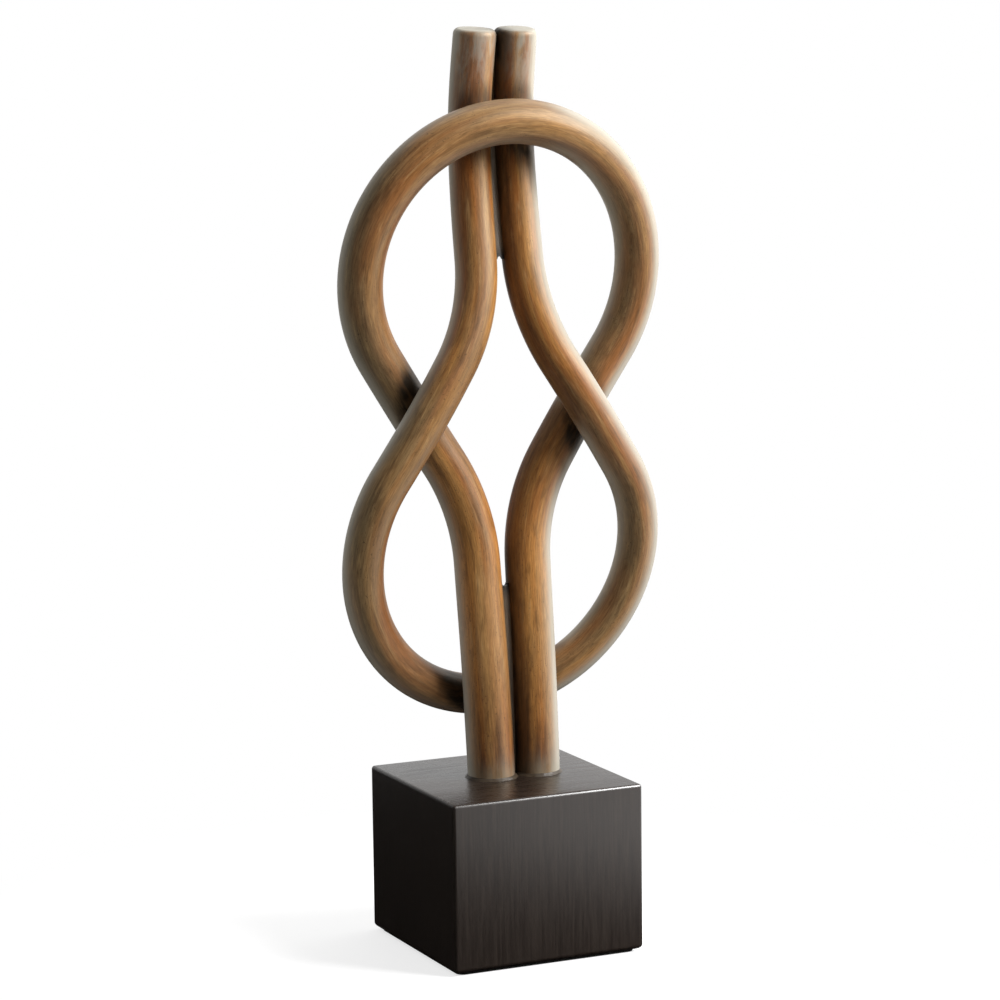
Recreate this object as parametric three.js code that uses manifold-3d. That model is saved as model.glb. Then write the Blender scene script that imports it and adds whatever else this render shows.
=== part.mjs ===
// Knot sculpture: two bent rattan poles tied in a square knot, standing on a dark wooden block.
// Millimetres, +Z up, +Y to the back. The origin is the middle of the underside.

import * as THREE from 'three';
import { ConvexGeometry } from 'three/addons/geometries/ConvexGeometry.js';
import { mergeVertices } from 'three/addons/utils/BufferGeometryUtils.js';
import Module from 'manifold-3d';

const degrees = THREE.MathUtils.degToRad;

// Wooden base, its mitred boards and the felt under it
const BASE_WIDTH = 102;
const BASE_DEPTH = 102;
const BASE_HEIGHT = 83.5;
const BOARD_THICKNESS = 6;
const EDGE_EASE = 1.6;
const MITRE_GAP = 0.25;
const FELT_THICKNESS = 1.5;
const FELT_INSET = 3;
const FELT_CORNER_RADIUS = 4;

// The bend that both poles share, along the centre line in the front view
const CROWN_RADIUS = 75;
const WAIST_RADIUS = 98;
const SPLAY_ANGLE = degrees(32.9);
const TOE_IN_ANGLE = degrees(0.9);

// Pole thickness, which grows evenly from the crown of a pole to its two ends
const STANDING_CROWN_DIAMETER = 22.3;
const STANDING_FOOT_DIAMETER = 24.1;
const HANGING_CROWN_DIAMETER = 20.5;
const HANGING_END_DIAMETER = 21.6;

// Heights of the knot
const LOWER_CROWN_RISE = 36.3; // from the base top to the centre of the hanging pole's crown
const KNOT_HEIGHT = 287.8; // between the centres of the two crowns
const END_OVERHANG = 43.9; // from the standing pole's crown up to the hanging pole's ends

// How the knot stands on the base
const FOOT_X = 5; // of the middle between the feet
const FOOT_Y = 0;
const KNOT_SETBACK = 9.6; // of the crossings, behind the feet
const LOWER_SETBACK = 5.5; // of the lower crossings, behind the others
const HANGING_END_SETBACK = 4.4; // of the hanging pole's ends, behind the crossings

// How far the middle of each pole sways to the right of the feet
const STANDING_WAIST_SWAY = 2.7;
const STANDING_CROWN_SWAY = 2;
const HANGING_CROWN_SWAY = -1;
const HANGING_WAIST_SWAY = -1.2;
const HANGING_END_SWAY = 1.5;

// Gaps between pieces
const CROSSING_GAP = 0.5;
const LEG_GAP = 0.3;
const FIT_GAP = 0.3;

// Feet in the base, with their screws and washers
const SOCKET_DEPTH = 32;
const SCREW_DIAMETER = 5;
const SCREW_GRIP = 22;
const SCREW_HEAD_DIAMETER = 9;
const SCREW_HEAD_HEIGHT = 3.2;
const SCREW_POINT_LENGTH = 6;
const WASHER_DIAMETER = 14;
const WASHER_THICKNESS = 1.2;
const COUNTERBORE_DEPTH = 6;

// Pins through the crossings
const PIN_DIAMETER = 2;
const PIN_HEAD_DIAMETER = 4;
const PIN_HEAD_THICKNESS = 1.2;
const PIN_HEAD_RECESS = 0.8;
const PIN_POINT_LENGTH = 3;
const PIN_GRIP = 12;

// Glue and filler
const FILLER_WIDTH = 12;
const FILLER_DEPTH = 11;
const LOWER_FILLER_RISE = 94; // from the base top to the crotch of the lower legs
const UPPER_FILLER_DROP = 70; // from the standing pole's crown down to the crotch of the upper legs
const FILLER_RECESS = 2; // from the hanging pole's ends
const GLUE_BEAD_WIDTH = 1.8;
const GLUE_BEAD_HEIGHT = 1.6;

// Facets
const POLE_SIDES = 14;
const POLE_STEPS = 84;
const FILLER_SIDES = 12;
const FILLER_STEPS = 12;
const ROUND_SIDES = 16;
const FULL_TURN = 2 * Math.PI;

// Heights that follow from the sizes above
const BASE_TOP = FELT_THICKNESS + BASE_HEIGHT;
const LOWER_CROWN_Z = BASE_TOP + LOWER_CROWN_RISE;
const UPPER_CROWN_Z = LOWER_CROWN_Z + KNOT_HEIGHT;
const WAIST_Z = (LOWER_CROWN_Z + UPPER_CROWN_Z) / 2;
const END_Z = UPPER_CROWN_Z + END_OVERHANG;
const FOOT_Z = BASE_TOP - SOCKET_DEPTH;
const SCREW_SEAT_Z = FELT_THICKNESS + COUNTERBORE_DEPTH;
const KNOT_Y = FOOT_Y + KNOT_SETBACK;

const wasm = await Module();
wasm.setup();

// Cutting and joining

function toSolid(geometry) {
  const bare = geometry.clone();
  bare.deleteAttribute('normal');
  bare.deleteAttribute('uv');
  const merged = mergeVertices(bare);
  return new wasm.Manifold(new wasm.Mesh({
    numProp: 3,
    vertProperties: merged.attributes.position.array,
    triVerts: merged.index.array,
  }));
}

function toGeometry(solid) {
  const mesh = solid.getMesh();
  const geometry = new THREE.BufferGeometry();
  geometry.setAttribute('position', new THREE.BufferAttribute(mesh.vertProperties, 3));
  geometry.setIndex(new THREE.BufferAttribute(mesh.triVerts, 1));
  geometry.computeVertexNormals();
  return geometry;
}

function cut(geometry, tools) {
  const result = tools.reduce((solid, tool) => solid.subtract(toSolid(tool)), toSolid(geometry));
  return toGeometry(result);
}

// The poles

// One half of a bent pole in the front view, as distances from the middle of its crown: a round crown,
// a straight flank, a reverse bend at the waist, and a straight leg that ends at its own place.
function bentHalf(endSpacing, span, tail) {
  const crownLength = CROWN_RADIUS * (Math.PI / 2 + SPLAY_ANGLE);
  const waistLength = WAIST_RADIUS * (SPLAY_ANGLE - TOE_IN_ANGLE);
  const splay = { sin: Math.sin(SPLAY_ANGLE), cos: Math.cos(SPLAY_ANGLE) };
  const toeIn = { sin: Math.sin(TOE_IN_ANGLE), cos: Math.cos(TOE_IN_ANGLE) };
  const waistInward = WAIST_RADIUS * (toeIn.cos - splay.cos);
  const waistDrop = WAIST_RADIUS * (splay.sin - toeIn.sin);

  // The two straights take up what the two bends leave over.
  const inward = CROWN_RADIUS * splay.cos - waistInward - endSpacing / 2;
  const drop = span - CROWN_RADIUS * (1 + splay.sin) - waistDrop;
  const between = Math.sin(SPLAY_ANGLE - TOE_IN_ANGLE);
  const flankLength = (inward * toeIn.cos - drop * toeIn.sin) / between;
  const legLength = (drop * splay.sin - inward * splay.cos) / between;
  const length = crownLength + flankLength + waistLength + legLength + tail;

  function at(distance) {
    if (distance < crownLength) {
      const turn = distance / CROWN_RADIUS;
      return { side: CROWN_RADIUS * Math.sin(turn), drop: CROWN_RADIUS * (1 - Math.cos(turn)) };
    }
    const along = Math.min(distance - crownLength, flankLength);
    const round = THREE.MathUtils.clamp(distance - crownLength - flankLength, 0, waistLength);
    const heading = SPLAY_ANGLE - round / WAIST_RADIUS;
    const leg = THREE.MathUtils.clamp(distance - crownLength - flankLength - waistLength, 0, legLength);
    const past = Math.max(distance - length + tail, 0);
    const side = CROWN_RADIUS * splay.cos - along * splay.sin
      - WAIST_RADIUS * (Math.cos(heading) - splay.cos) - leg * toeIn.sin;
    const fall = CROWN_RADIUS * (1 + splay.sin) + along * splay.cos
      + WAIST_RADIUS * (splay.sin - Math.sin(heading)) + leg * toeIn.cos + past;
    return { side, drop: fall };
  }

  function sideAtDrop(wanted) {
    let low = 0;
    let high = length;
    for (let halving = 0; halving < 40; halving += 1) {
      const middle = (low + high) / 2;
      if (at(middle).drop < wanted) {
        low = middle;
      } else {
        high = middle;
      }
    }
    return at(low).side;
  }

  return { length, at, sideAtDrop };
}

// A smooth curve through values at given heights, lowest first. Past its ends it runs on straight. It gives
// a pole's depth, so that it weaves before and behind the other pole, and its sway to the side.
function smoothAlong(stations) {
  const last = stations.length - 1;
  const grade = (index) => {
    const [lowHeight, lowValue] = stations[index];
    const [highHeight, highValue] = stations[index + 1];
    return (highValue - lowValue) / (highHeight - lowHeight);
  };
  const slopes = stations.map((station, index) => (
    index > 0 && index < last ? (grade(index - 1) + grade(index)) / 2 : 0));
  slopes[0] = (3 * grade(0) - slopes[1]) / 2;
  slopes[last] = (3 * grade(last - 1) - slopes[last - 1]) / 2;

  return (height) => {
    for (const end of [0, last]) {
      const past = height - stations[end][0];
      if (end === 0 ? past < 0 : past >= 0) {
        return stations[end][1] + slopes[end] * past;
      }
    }
    const high = stations.findIndex(([stationHeight]) => stationHeight > height);
    const [lowHeight, lowValue] = stations[high - 1];
    const [highHeight, highValue] = stations[high];
    const step = highHeight - lowHeight;
    const s = (height - lowHeight) / step;
    return lowValue * (1 + 2 * s) * (1 - s) ** 2 + highValue * s ** 2 * (3 - 2 * s)
      + step * s * (1 - s) * (slopes[high - 1] * (1 - s) - slopes[high] * s);
  };
}

function taper(crownDiameter, endDiameter, crownZ, endZ) {
  return (height) => THREE.MathUtils.mapLinear(height, crownZ, endZ, crownDiameter, endDiameter) / 2;
}

// The centre line of a whole pole, from its left end over the crown to its right end.
class PolePath extends THREE.Curve {
  constructor(pole, tail) {
    super();
    this.pole = pole;
    this.half = bentHalf(pole.endSpacing, Math.abs(pole.crownZ - pole.endZ), tail);
  }

  getPoint(t, target = new THREE.Vector3()) {
    const { pole, half } = this;
    const distance = (2 * t - 1) * half.length;
    const { side, drop } = half.at(Math.abs(distance));
    const height = pole.crownZ + Math.sign(pole.endZ - pole.crownZ) * drop;
    const x = Math.sign(distance) * side + pole.across(height);
    return target.set(x, pole.depth(height), height);
  }

  // The centre of the left (-1) or right (1) half at a height
  centreAt(hand, height) {
    const { pole, half } = this;
    const side = half.sideAtDrop(Math.abs(pole.crownZ - height));
    return new THREE.Vector3(hand * side + pole.across(height), pole.depth(height), height);
  }
}

function roundSection(sides, width = 2, depth = 2) {
  const corners = [];
  for (let corner = 0; corner < sides; corner += 1) {
    const turn = (corner / sides) * FULL_TURN;
    corners.push(new THREE.Vector2((width / 2) * Math.cos(turn), (depth / 2) * Math.sin(turn)));
  }
  return new THREE.Shape(corners);
}

// A tube of unit radius along the path, in which each ring then takes the pole's radius at its height.
function poleGeometry(pole, { allowance = 0, tail = pole.tail } = {}) {
  const path = new PolePath(pole, tail);
  const tube = new THREE.ExtrudeGeometry(roundSection(POLE_SIDES), {
    steps: POLE_STEPS,
    extrudePath: path,
    bevelEnabled: false,
  });
  const centres = path.getSpacedPoints(POLE_STEPS);
  const position = tube.attributes.position;
  const point = new THREE.Vector3();
  for (let index = 0; index < position.count; index += 1) {
    point.fromBufferAttribute(position, index);
    const centre = centres.reduce((best, other) => (
      other.distanceToSquared(point) < best.distanceToSquared(point) ? other : best));
    point.sub(centre).multiplyScalar(pole.radius(centre.z) + allowance).add(centre);
    position.setXYZ(index, point.x, point.y, point.z);
  }
  return tube;
}

const standingRadius = taper(STANDING_CROWN_DIAMETER, STANDING_FOOT_DIAMETER, UPPER_CROWN_Z, BASE_TOP);
const hangingRadius = taper(HANGING_CROWN_DIAMETER, HANGING_END_DIAMETER, LOWER_CROWN_Z, END_Z);
const halfPitch = (height) => (standingRadius(height) + hangingRadius(height) + CROSSING_GAP) / 2;

// How far a crown has curved away where the other pole's legs cross it
function crownSag(legDiameter, sway) {
  const reach = (legDiameter + LEG_GAP) / 2 + Math.abs(sway);
  return CROWN_RADIUS - Math.sqrt(CROWN_RADIUS ** 2 - reach ** 2);
}

const LOWER_CROSSING_Z = LOWER_CROWN_Z + crownSag(STANDING_FOOT_DIAMETER, HANGING_CROWN_SWAY);
const UPPER_CROSSING_Z = UPPER_CROWN_Z
  - crownSag(HANGING_END_DIAMETER, HANGING_END_SWAY - STANDING_CROWN_SWAY);

const standing = {
  crownZ: UPPER_CROWN_Z,
  endZ: BASE_TOP,
  endSpacing: STANDING_FOOT_DIAMETER + LEG_GAP,
  tail: SOCKET_DEPTH,
  radius: standingRadius,
  across: smoothAlong([
    [FOOT_Z, FOOT_X],
    [BASE_TOP, FOOT_X],
    [WAIST_Z, FOOT_X + STANDING_WAIST_SWAY],
    [UPPER_CROWN_Z, FOOT_X + STANDING_CROWN_SWAY],
  ]),
  depth: smoothAlong([
    [FOOT_Z, FOOT_Y],
    [BASE_TOP, FOOT_Y],
    [LOWER_CROSSING_Z, KNOT_Y + LOWER_SETBACK - halfPitch(LOWER_CROSSING_Z)],
    [WAIST_Z, KNOT_Y + halfPitch(WAIST_Z)],
    [UPPER_CROSSING_Z, KNOT_Y - halfPitch(UPPER_CROSSING_Z)],
  ]),
};

const hanging = {
  crownZ: LOWER_CROWN_Z,
  endZ: END_Z,
  endSpacing: HANGING_END_DIAMETER + LEG_GAP,
  tail: 0,
  radius: hangingRadius,
  across: smoothAlong([
    [LOWER_CROWN_Z, FOOT_X + HANGING_CROWN_SWAY],
    [WAIST_Z, FOOT_X + HANGING_WAIST_SWAY],
    [UPPER_CROSSING_Z, FOOT_X + HANGING_END_SWAY],
    [END_Z, FOOT_X + HANGING_END_SWAY],
  ]),
  depth: smoothAlong([
    [LOWER_CROSSING_Z, KNOT_Y + LOWER_SETBACK + halfPitch(LOWER_CROSSING_Z)],
    [WAIST_Z, KNOT_Y - halfPitch(WAIST_Z)],
    [UPPER_CROSSING_Z, KNOT_Y + halfPitch(UPPER_CROSSING_Z)],
    [END_Z, KNOT_Y + HANGING_END_SETBACK],
  ]),
};

const standingPath = new PolePath(standing, standing.tail);
const hangingPath = new PolePath(hanging, hanging.tail);

// Round hardware

function turned(profile) {
  const points = profile.map(([radius, height]) => new THREE.Vector2(radius, height));
  return new THREE.LatheGeometry(points, ROUND_SIDES).rotateX(Math.PI / 2);
}

function upright(diameter, low, high, x, y) {
  const rod = new THREE.CylinderGeometry(diameter / 2, diameter / 2, high - low, ROUND_SIDES);
  return rod.rotateX(Math.PI / 2).translate(x, y, (low + high) / 2);
}

function frontToBack(diameter, front, back, x, z) {
  const rod = new THREE.CylinderGeometry(diameter / 2, diameter / 2, back - front, ROUND_SIDES);
  return rod.translate(x, (front + back) / 2, z);
}

// Pins, each driven from behind through the rear pole into the front one

function crossingPin(name, place, rear, front) {
  const headBack = rear.depth(place.z) + rear.radius(place.z) - PIN_HEAD_RECESS;
  const headFront = headBack - PIN_HEAD_THICKNESS;
  const point = front.depth(place.z) + front.radius(place.z) - PIN_GRIP;
  const pastRear = headBack + rear.radius(place.z);
  return { name, place, headBack, headFront, point, pastRear };
}

const between = (a, b) => a.clone().add(b).divideScalar(2);
const pins = [];
for (const [hand, word] of [[-1, 'left'], [1, 'right']]) {
  const top = hangingPath.centreAt(hand, UPPER_CROSSING_Z);
  const waist = between(standingPath.centreAt(hand, WAIST_Z), hangingPath.centreAt(hand, WAIST_Z));
  const bottom = standingPath.centreAt(hand, LOWER_CROSSING_Z);
  pins.push(crossingPin(`crossing_pin_top_${word}`, top, hanging, standing));
  pins.push(crossingPin(`crossing_pin_waist_${word}`, waist, standing, hanging));
  pins.push(crossingPin(`crossing_pin_bottom_${word}`, bottom, hanging, standing));
}

function pinGeometry(pin) {
  const pinLength = pin.headBack - pin.point;
  const geometry = turned([
    [0, 0],
    [PIN_DIAMETER / 2, PIN_POINT_LENGTH],
    [PIN_DIAMETER / 2, pinLength - PIN_HEAD_THICKNESS],
    [PIN_HEAD_DIAMETER / 2, pinLength - PIN_HEAD_THICKNESS],
    [PIN_HEAD_DIAMETER / 2, pinLength],
    [0, pinLength],
  ]);
  return geometry.rotateX(-Math.PI / 2).translate(pin.place.x, pin.point, pin.place.z);
}

function pinHoles(pin) {
  const { x, z } = pin.place;
  return [
    frontToBack(PIN_DIAMETER + 2 * FIT_GAP, pin.point - FIT_GAP, pin.headBack, x, z),
    frontToBack(PIN_HEAD_DIAMETER + 2 * FIT_GAP, pin.headFront - FIT_GAP, pin.pastRear, x, z),
  ];
}

// Feet, with a screw and a washer each, from below

const feet = [[-1, 'left'], [1, 'right']].map(([hand, word]) => {
  const { x, y } = standingPath.centreAt(hand, FOOT_Z);
  return { word, x, y };
});
const SCREW_TIP_Z = FOOT_Z + SCREW_GRIP;
const SCREW_HOLE = SCREW_DIAMETER + 2 * FIT_GAP;

function screwGeometry(foot) {
  const headTop = SCREW_SEAT_Z - WASHER_THICKNESS;
  return turned([
    [0, headTop - SCREW_HEAD_HEIGHT],
    [SCREW_HEAD_DIAMETER / 2, headTop - SCREW_HEAD_HEIGHT],
    [SCREW_HEAD_DIAMETER / 2, headTop],
    [SCREW_DIAMETER / 2, headTop],
    [SCREW_DIAMETER / 2, SCREW_TIP_Z - SCREW_POINT_LENGTH],
    [0, SCREW_TIP_Z],
  ]).translate(foot.x, foot.y, 0);
}

function washerGeometry(foot) {
  const low = SCREW_SEAT_Z - WASHER_THICKNESS;
  return turned([
    [SCREW_HOLE / 2, low],
    [WASHER_DIAMETER / 2, low],
    [WASHER_DIAMETER / 2, SCREW_SEAT_Z],
    [SCREW_HOLE / 2, SCREW_SEAT_Z],
    [SCREW_HOLE / 2, low],
  ]).translate(foot.x, foot.y, 0);
}

const screwHole = (foot, low, high) => upright(SCREW_HOLE, low, high, foot.x, foot.y);

// The finished poles, drilled for pins and screws

const pinDrills = pins.flatMap(pinHoles);
const footDrills = feet.map((foot) => screwHole(foot, FOOT_Z - FIT_GAP, SCREW_TIP_Z + FIT_GAP));
const standingGeometry = cut(poleGeometry(standing), [...pinDrills, ...footDrills]);
const hangingGeometry = cut(poleGeometry(hanging), pinDrills);

// Base

// The corners of a board's mitred and eased edge: each one's depth under the board's own face, and its
// distance in from the face of the next board.
const MITRE_TRIM = MITRE_GAP / Math.SQRT2;
const mitredEdge = [
  [BOARD_THICKNESS, BOARD_THICKNESS + MITRE_TRIM],
  [EDGE_EASE / 2, EDGE_EASE / 2 + MITRE_TRIM],
  [0, EDGE_EASE],
];

// A side board with mitred ends and top, lying along X and facing the front
function sideBoard(width, depth) {
  const corners = [];
  for (const [inset, trim] of mitredEdge) {
    for (const hand of [-1, 1]) {
      const x = hand * (width / 2 - trim);
      const y = inset - depth / 2;
      corners.push(new THREE.Vector3(x, y, FELT_THICKNESS));
      corners.push(new THREE.Vector3(x, y, BASE_TOP - trim));
    }
  }
  return new ConvexGeometry(corners);
}

function topBoard() {
  const corners = [];
  for (const [down, trim] of mitredEdge) {
    for (const across of [-1, 1]) {
      for (const back of [-1, 1]) {
        const x = across * (BASE_WIDTH / 2 - trim);
        const y = back * (BASE_DEPTH / 2 - trim);
        corners.push(new THREE.Vector3(x, y, BASE_TOP - down));
      }
    }
  }
  return new ConvexGeometry(corners);
}

function baseCore() {
  const height = BASE_HEIGHT - BOARD_THICKNESS;
  const block = new THREE.BoxGeometry(
    BASE_WIDTH - 2 * BOARD_THICKNESS,
    BASE_DEPTH - 2 * BOARD_THICKNESS,
    height,
  );
  block.translate(0, 0, FELT_THICKNESS + height / 2);
  const sockets = poleGeometry(standing, { allowance: FIT_GAP, tail: SOCKET_DEPTH + FIT_GAP });
  const bores = feet.flatMap((foot) => [
    screwHole(foot, 0, FOOT_Z),
    upright(WASHER_DIAMETER + 2 * FIT_GAP, 0, SCREW_SEAT_Z, foot.x, foot.y),
  ]);
  return cut(block, [sockets, ...bores]);
}

function baseFelt() {
  const width = BASE_WIDTH - 2 * FELT_INSET;
  const depth = BASE_DEPTH - 2 * FELT_INSET;
  const outline = new THREE.Shape();
  const corners = [[1, -1, -0.25], [1, 1, 0], [-1, 1, 0.25], [-1, -1, 0.5]];
  for (const [across, back, startTurn] of corners) {
    const x = across * (width / 2 - FELT_CORNER_RADIUS);
    const y = back * (depth / 2 - FELT_CORNER_RADIUS);
    const start = startTurn * FULL_TURN;
    outline.absarc(x, y, FELT_CORNER_RADIUS, start, start + FULL_TURN / 4);
  }
  outline.closePath();
  return new THREE.ExtrudeGeometry(outline, {
    depth: FELT_THICKNESS,
    curveSegments: 4,
    bevelEnabled: false,
  });
}

// Glue and filler

// The line midway between a pole's two legs
class LegSeam extends THREE.Curve {
  constructor(pole, low, high) {
    super();
    this.pole = pole;
    this.low = low;
    this.high = high;
  }

  getPoint(t, target = new THREE.Vector3()) {
    const height = THREE.MathUtils.lerp(this.low, this.high, t);
    return target.set(this.pole.across(height), this.pole.depth(height), height);
  }
}

function legFiller(pole, low, high, trims = []) {
  const bar = new THREE.ExtrudeGeometry(roundSection(FILLER_SIDES, FILLER_DEPTH, FILLER_WIDTH), {
    steps: FILLER_STEPS,
    extrudePath: new LegSeam(pole, low, high),
    bevelEnabled: false,
  });
  return cut(bar, [poleGeometry(pole, { allowance: FIT_GAP }), ...trims]);
}

function footBead() {
  const low = STANDING_FOOT_DIAMETER / 2 + GLUE_BEAD_WIDTH;
  const high = STANDING_FOOT_DIAMETER / 2 + FIT_GAP;
  const cones = feet.map((foot) => {
    const cone = new THREE.CylinderGeometry(high, low, GLUE_BEAD_HEIGHT, 2 * ROUND_SIDES);
    return cone.rotateX(Math.PI / 2).translate(foot.x, foot.y, BASE_TOP + GLUE_BEAD_HEIGHT / 2);
  });
  const both = toGeometry(toSolid(cones[0]).add(toSolid(cones[1])));
  return cut(both, [poleGeometry(standing, { allowance: FIT_GAP })]);
}

// The assembly

const sculpture = new THREE.Group();

function addPiece(name, geometry, color, roughness, metalness = 0) {
  const mesh = new THREE.Mesh(geometry, new THREE.MeshStandardMaterial({ color, roughness, metalness }));
  mesh.name = name;
  sculpture.add(mesh);
  return mesh;
}

const RATTAN = 0x96703f;
const EBONY = 0x2a2523;
const GLUE = 0x3a3632;
const CORE_WOOD = 0xa88a62;
const STEEL = 0x9a9a98;
const FELT = 0x1f1f21;

addPiece('standing_pole', standingGeometry, RATTAN, 0.5);
addPiece('hanging_pole', hangingGeometry, RATTAN, 0.5);
const beadRoom = upright(2 * FILLER_DEPTH, 0, BASE_TOP + GLUE_BEAD_HEIGHT + FIT_GAP, FOOT_X, FOOT_Y);
addPiece('lower_leg_filler', legFiller(
  standing, BASE_TOP, BASE_TOP + LOWER_FILLER_RISE, [beadRoom]), GLUE, 0.35);
addPiece('upper_leg_filler', legFiller(
  hanging, UPPER_CROWN_Z - UPPER_FILLER_DROP, END_Z - FILLER_RECESS), GLUE, 0.35);
addPiece('foot_glue_bead', footBead(), GLUE, 0.25);

addPiece('base_core', baseCore(), CORE_WOOD, 0.8);
addPiece('base_panel_top', cut(topBoard(), [poleGeometry(standing, { allowance: FIT_GAP })]), EBONY, 0.45);
addPiece('base_panel_front', sideBoard(BASE_WIDTH, BASE_DEPTH), EBONY, 0.45);
addPiece('base_panel_right', sideBoard(BASE_DEPTH, BASE_WIDTH), EBONY, 0.45).rotation.z = Math.PI / 2;
addPiece('base_panel_back', sideBoard(BASE_WIDTH, BASE_DEPTH), EBONY, 0.45).rotation.z = Math.PI;
addPiece('base_panel_left', sideBoard(BASE_DEPTH, BASE_WIDTH), EBONY, 0.45).rotation.z = -Math.PI / 2;
addPiece('base_felt', baseFelt(), FELT, 0.95);

for (const foot of feet) {
  addPiece(`foot_screw_${foot.word}`, screwGeometry(foot), STEEL, 0.35, 1);
  addPiece(`foot_washer_${foot.word}`, washerGeometry(foot), STEEL, 0.35, 1);
}

for (const pin of pins) {
  addPiece(pin.name, pinGeometry(pin), STEEL, 0.4, 1);
}

export default sculpture;
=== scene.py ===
"""Rattan knot sculpture: the finished looks of a square knot of two bent poles on a dark wooden block."""

import math

import bmesh
import bpy
import numpy as np
from bpy.props import FloatProperty, FloatVectorProperty, PointerProperty
from mathutils import Matrix, Vector
from mathutils.kdtree import KDTree


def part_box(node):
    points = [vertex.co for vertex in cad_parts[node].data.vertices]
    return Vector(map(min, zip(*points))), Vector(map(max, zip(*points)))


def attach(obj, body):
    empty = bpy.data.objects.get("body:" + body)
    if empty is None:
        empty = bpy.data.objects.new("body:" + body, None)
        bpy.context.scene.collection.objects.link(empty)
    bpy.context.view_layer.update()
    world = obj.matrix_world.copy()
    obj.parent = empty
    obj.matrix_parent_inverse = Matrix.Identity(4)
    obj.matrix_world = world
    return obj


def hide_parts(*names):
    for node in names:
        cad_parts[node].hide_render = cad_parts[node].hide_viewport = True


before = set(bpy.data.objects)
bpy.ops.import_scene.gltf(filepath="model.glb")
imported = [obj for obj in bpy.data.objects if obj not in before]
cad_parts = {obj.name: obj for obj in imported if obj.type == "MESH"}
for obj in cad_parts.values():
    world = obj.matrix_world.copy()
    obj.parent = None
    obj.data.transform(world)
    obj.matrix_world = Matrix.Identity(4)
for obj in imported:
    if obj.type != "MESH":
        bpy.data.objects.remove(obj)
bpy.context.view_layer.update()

bl_info = {
    "name": "Rattan Knot Sculpture",
    "version": (1, 0, 0),
    "blender": (4, 5, 0),
    "location": "View3D > Sidebar > Knot",
    "description": "Models two bent rattan poles tied in a square knot on a dark wooden block",
    "category": "Object",
}

MM = 0.001
HANDS = {"left": -1, "right": 1}


# Settings


def length(name, millimetres, description):
    return FloatProperty(
        name=name, description=description, default=millimetres * MM, precision=5,
        subtype="DISTANCE", unit="LENGTH",
    )


def angle(name, degrees, description):
    return FloatProperty(
        name=name, description=description, default=math.radians(degrees),
        subtype="ANGLE", unit="ROTATION",
    )


def colour(name, red, green, blue, description):
    """A colour property whose default is given as screen values from 0 to 255."""
    def linear(value):
        level = value / 255
        return level / 12.92 if level <= 0.04045 else ((level + 0.055) / 1.055) ** 2.4
    return FloatVectorProperty(
        name=name, description=description, default=[linear(v) for v in (red, green, blue)],
        size=3, min=0, max=1, subtype="COLOR",
    )


class KnotSizes(bpy.types.PropertyGroup):
    crown_radius: length("Crown radius", 75, "Bend of both poles at their crowns")
    waist_radius: length("Waist radius", 98, "Reverse bend of both poles at the waist")
    splay: angle("Splay", 32.9, "Slope of the straight flanks")
    toe_in: angle("Toe-in", 0.9, "Slope of the straight legs")
    standing_crown: length("Standing crown", 22.3, "Thickness of the standing pole at its crown")
    standing_foot: length("Standing foot", 24.1, "Thickness of the standing pole at the base")
    hanging_crown: length("Hanging crown", 20.5, "Thickness of the hanging pole at its crown")
    hanging_end: length("Hanging end", 21.6, "Thickness of the hanging pole at its ends")
    lower_crown_rise: length("Lower crown rise", 36.3, "From the base top to the hanging pole's crown")
    knot_height: length("Knot height", 287.8, "Between the centres of the two crowns")
    end_overhang: length("End overhang", 43.9, "From the upper crown to the hanging pole's ends")
    foot_x: length("Foot place across", 5, "Place across of the middle between the feet")
    foot_y: length("Foot place in depth", 0, "Place of the feet, front to back")
    knot_setback: length("Knot setback", 9.6, "How far the crossings lie behind the feet")
    lower_setback: length("Lower setback", 5.5, "How far the lower crossings lie behind the others")
    end_setback: length("End setback", 4.4, "How far the hanging pole's ends lie behind the crossings")
    standing_waist_sway: length("Standing waist sway", 2.7, "Standing pole's waist, right of the feet")
    standing_crown_sway: length("Standing crown sway", 2, "Standing pole's crown, right of the feet")
    hanging_crown_sway: length("Hanging crown sway", -1, "Hanging pole's crown, right of the feet")
    hanging_waist_sway: length("Hanging waist sway", -1.2, "Hanging pole's waist, right of the feet")
    hanging_end_sway: length("Hanging end sway", 1.5, "Hanging pole's ends, right of the feet")
    crossing_gap: length("Crossing gap", 0.5, "Gap between the poles at a crossing")
    leg_gap: length("Leg gap", 0.3, "Gap between the two legs of a pole")
    socket_depth: length("Socket depth", 32, "Depth of the feet in the base")
    end_rounding: length("End rounding", 2.6, "Rounding of the sawn ends")
    end_levelling: angle("End levelling", 5.5, "How far the free ends are sawn nearer to level than square")
    waviness: length("Waviness", 0.6, "Uneven thickness of the natural poles")


class GlueSizes(bpy.types.PropertyGroup):
    width: length("Filler width", 9, "Width of the filler bar before the legs cut it")
    upper_depth: length("Upper depth", 2.2, "Depth of the upper filler bar, front to back")
    lower_depth: length("Lower depth", 2.8, "Depth of the lower filler bar, front to back")
    lower_rise: length("Lower rise", 94.5, "From the base top to the crotch of the lower legs")
    upper_drop: length("Upper drop", 67.6, "From the upper crown to the crotch of the upper legs")
    recess: length("Recess", 2, "From the hanging pole's ends down to the filler")
    crotch_radius: length("Crotch radius", 1.4, "Rounding of the filler in the crotches")
    bead_width: length("Bead width", 1.3, "Width of the glue bead round the feet")
    bead_height: length("Bead height", 1.3, "Height of the glue bead round the feet")
    lumpiness: length("Lumpiness", 0.35, "Uneven surface of the glue")


class PinSizes(bpy.types.PropertyGroup):
    shank: length("Shank", 2, "Thickness of a brad")
    head_thickness: length("Head thickness", 1.2, "Thickness of a brad's head")
    point: length("Point", 3, "Length of a brad's point")
    screw: length("Screw", 5, "Thickness of a foot screw")


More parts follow.
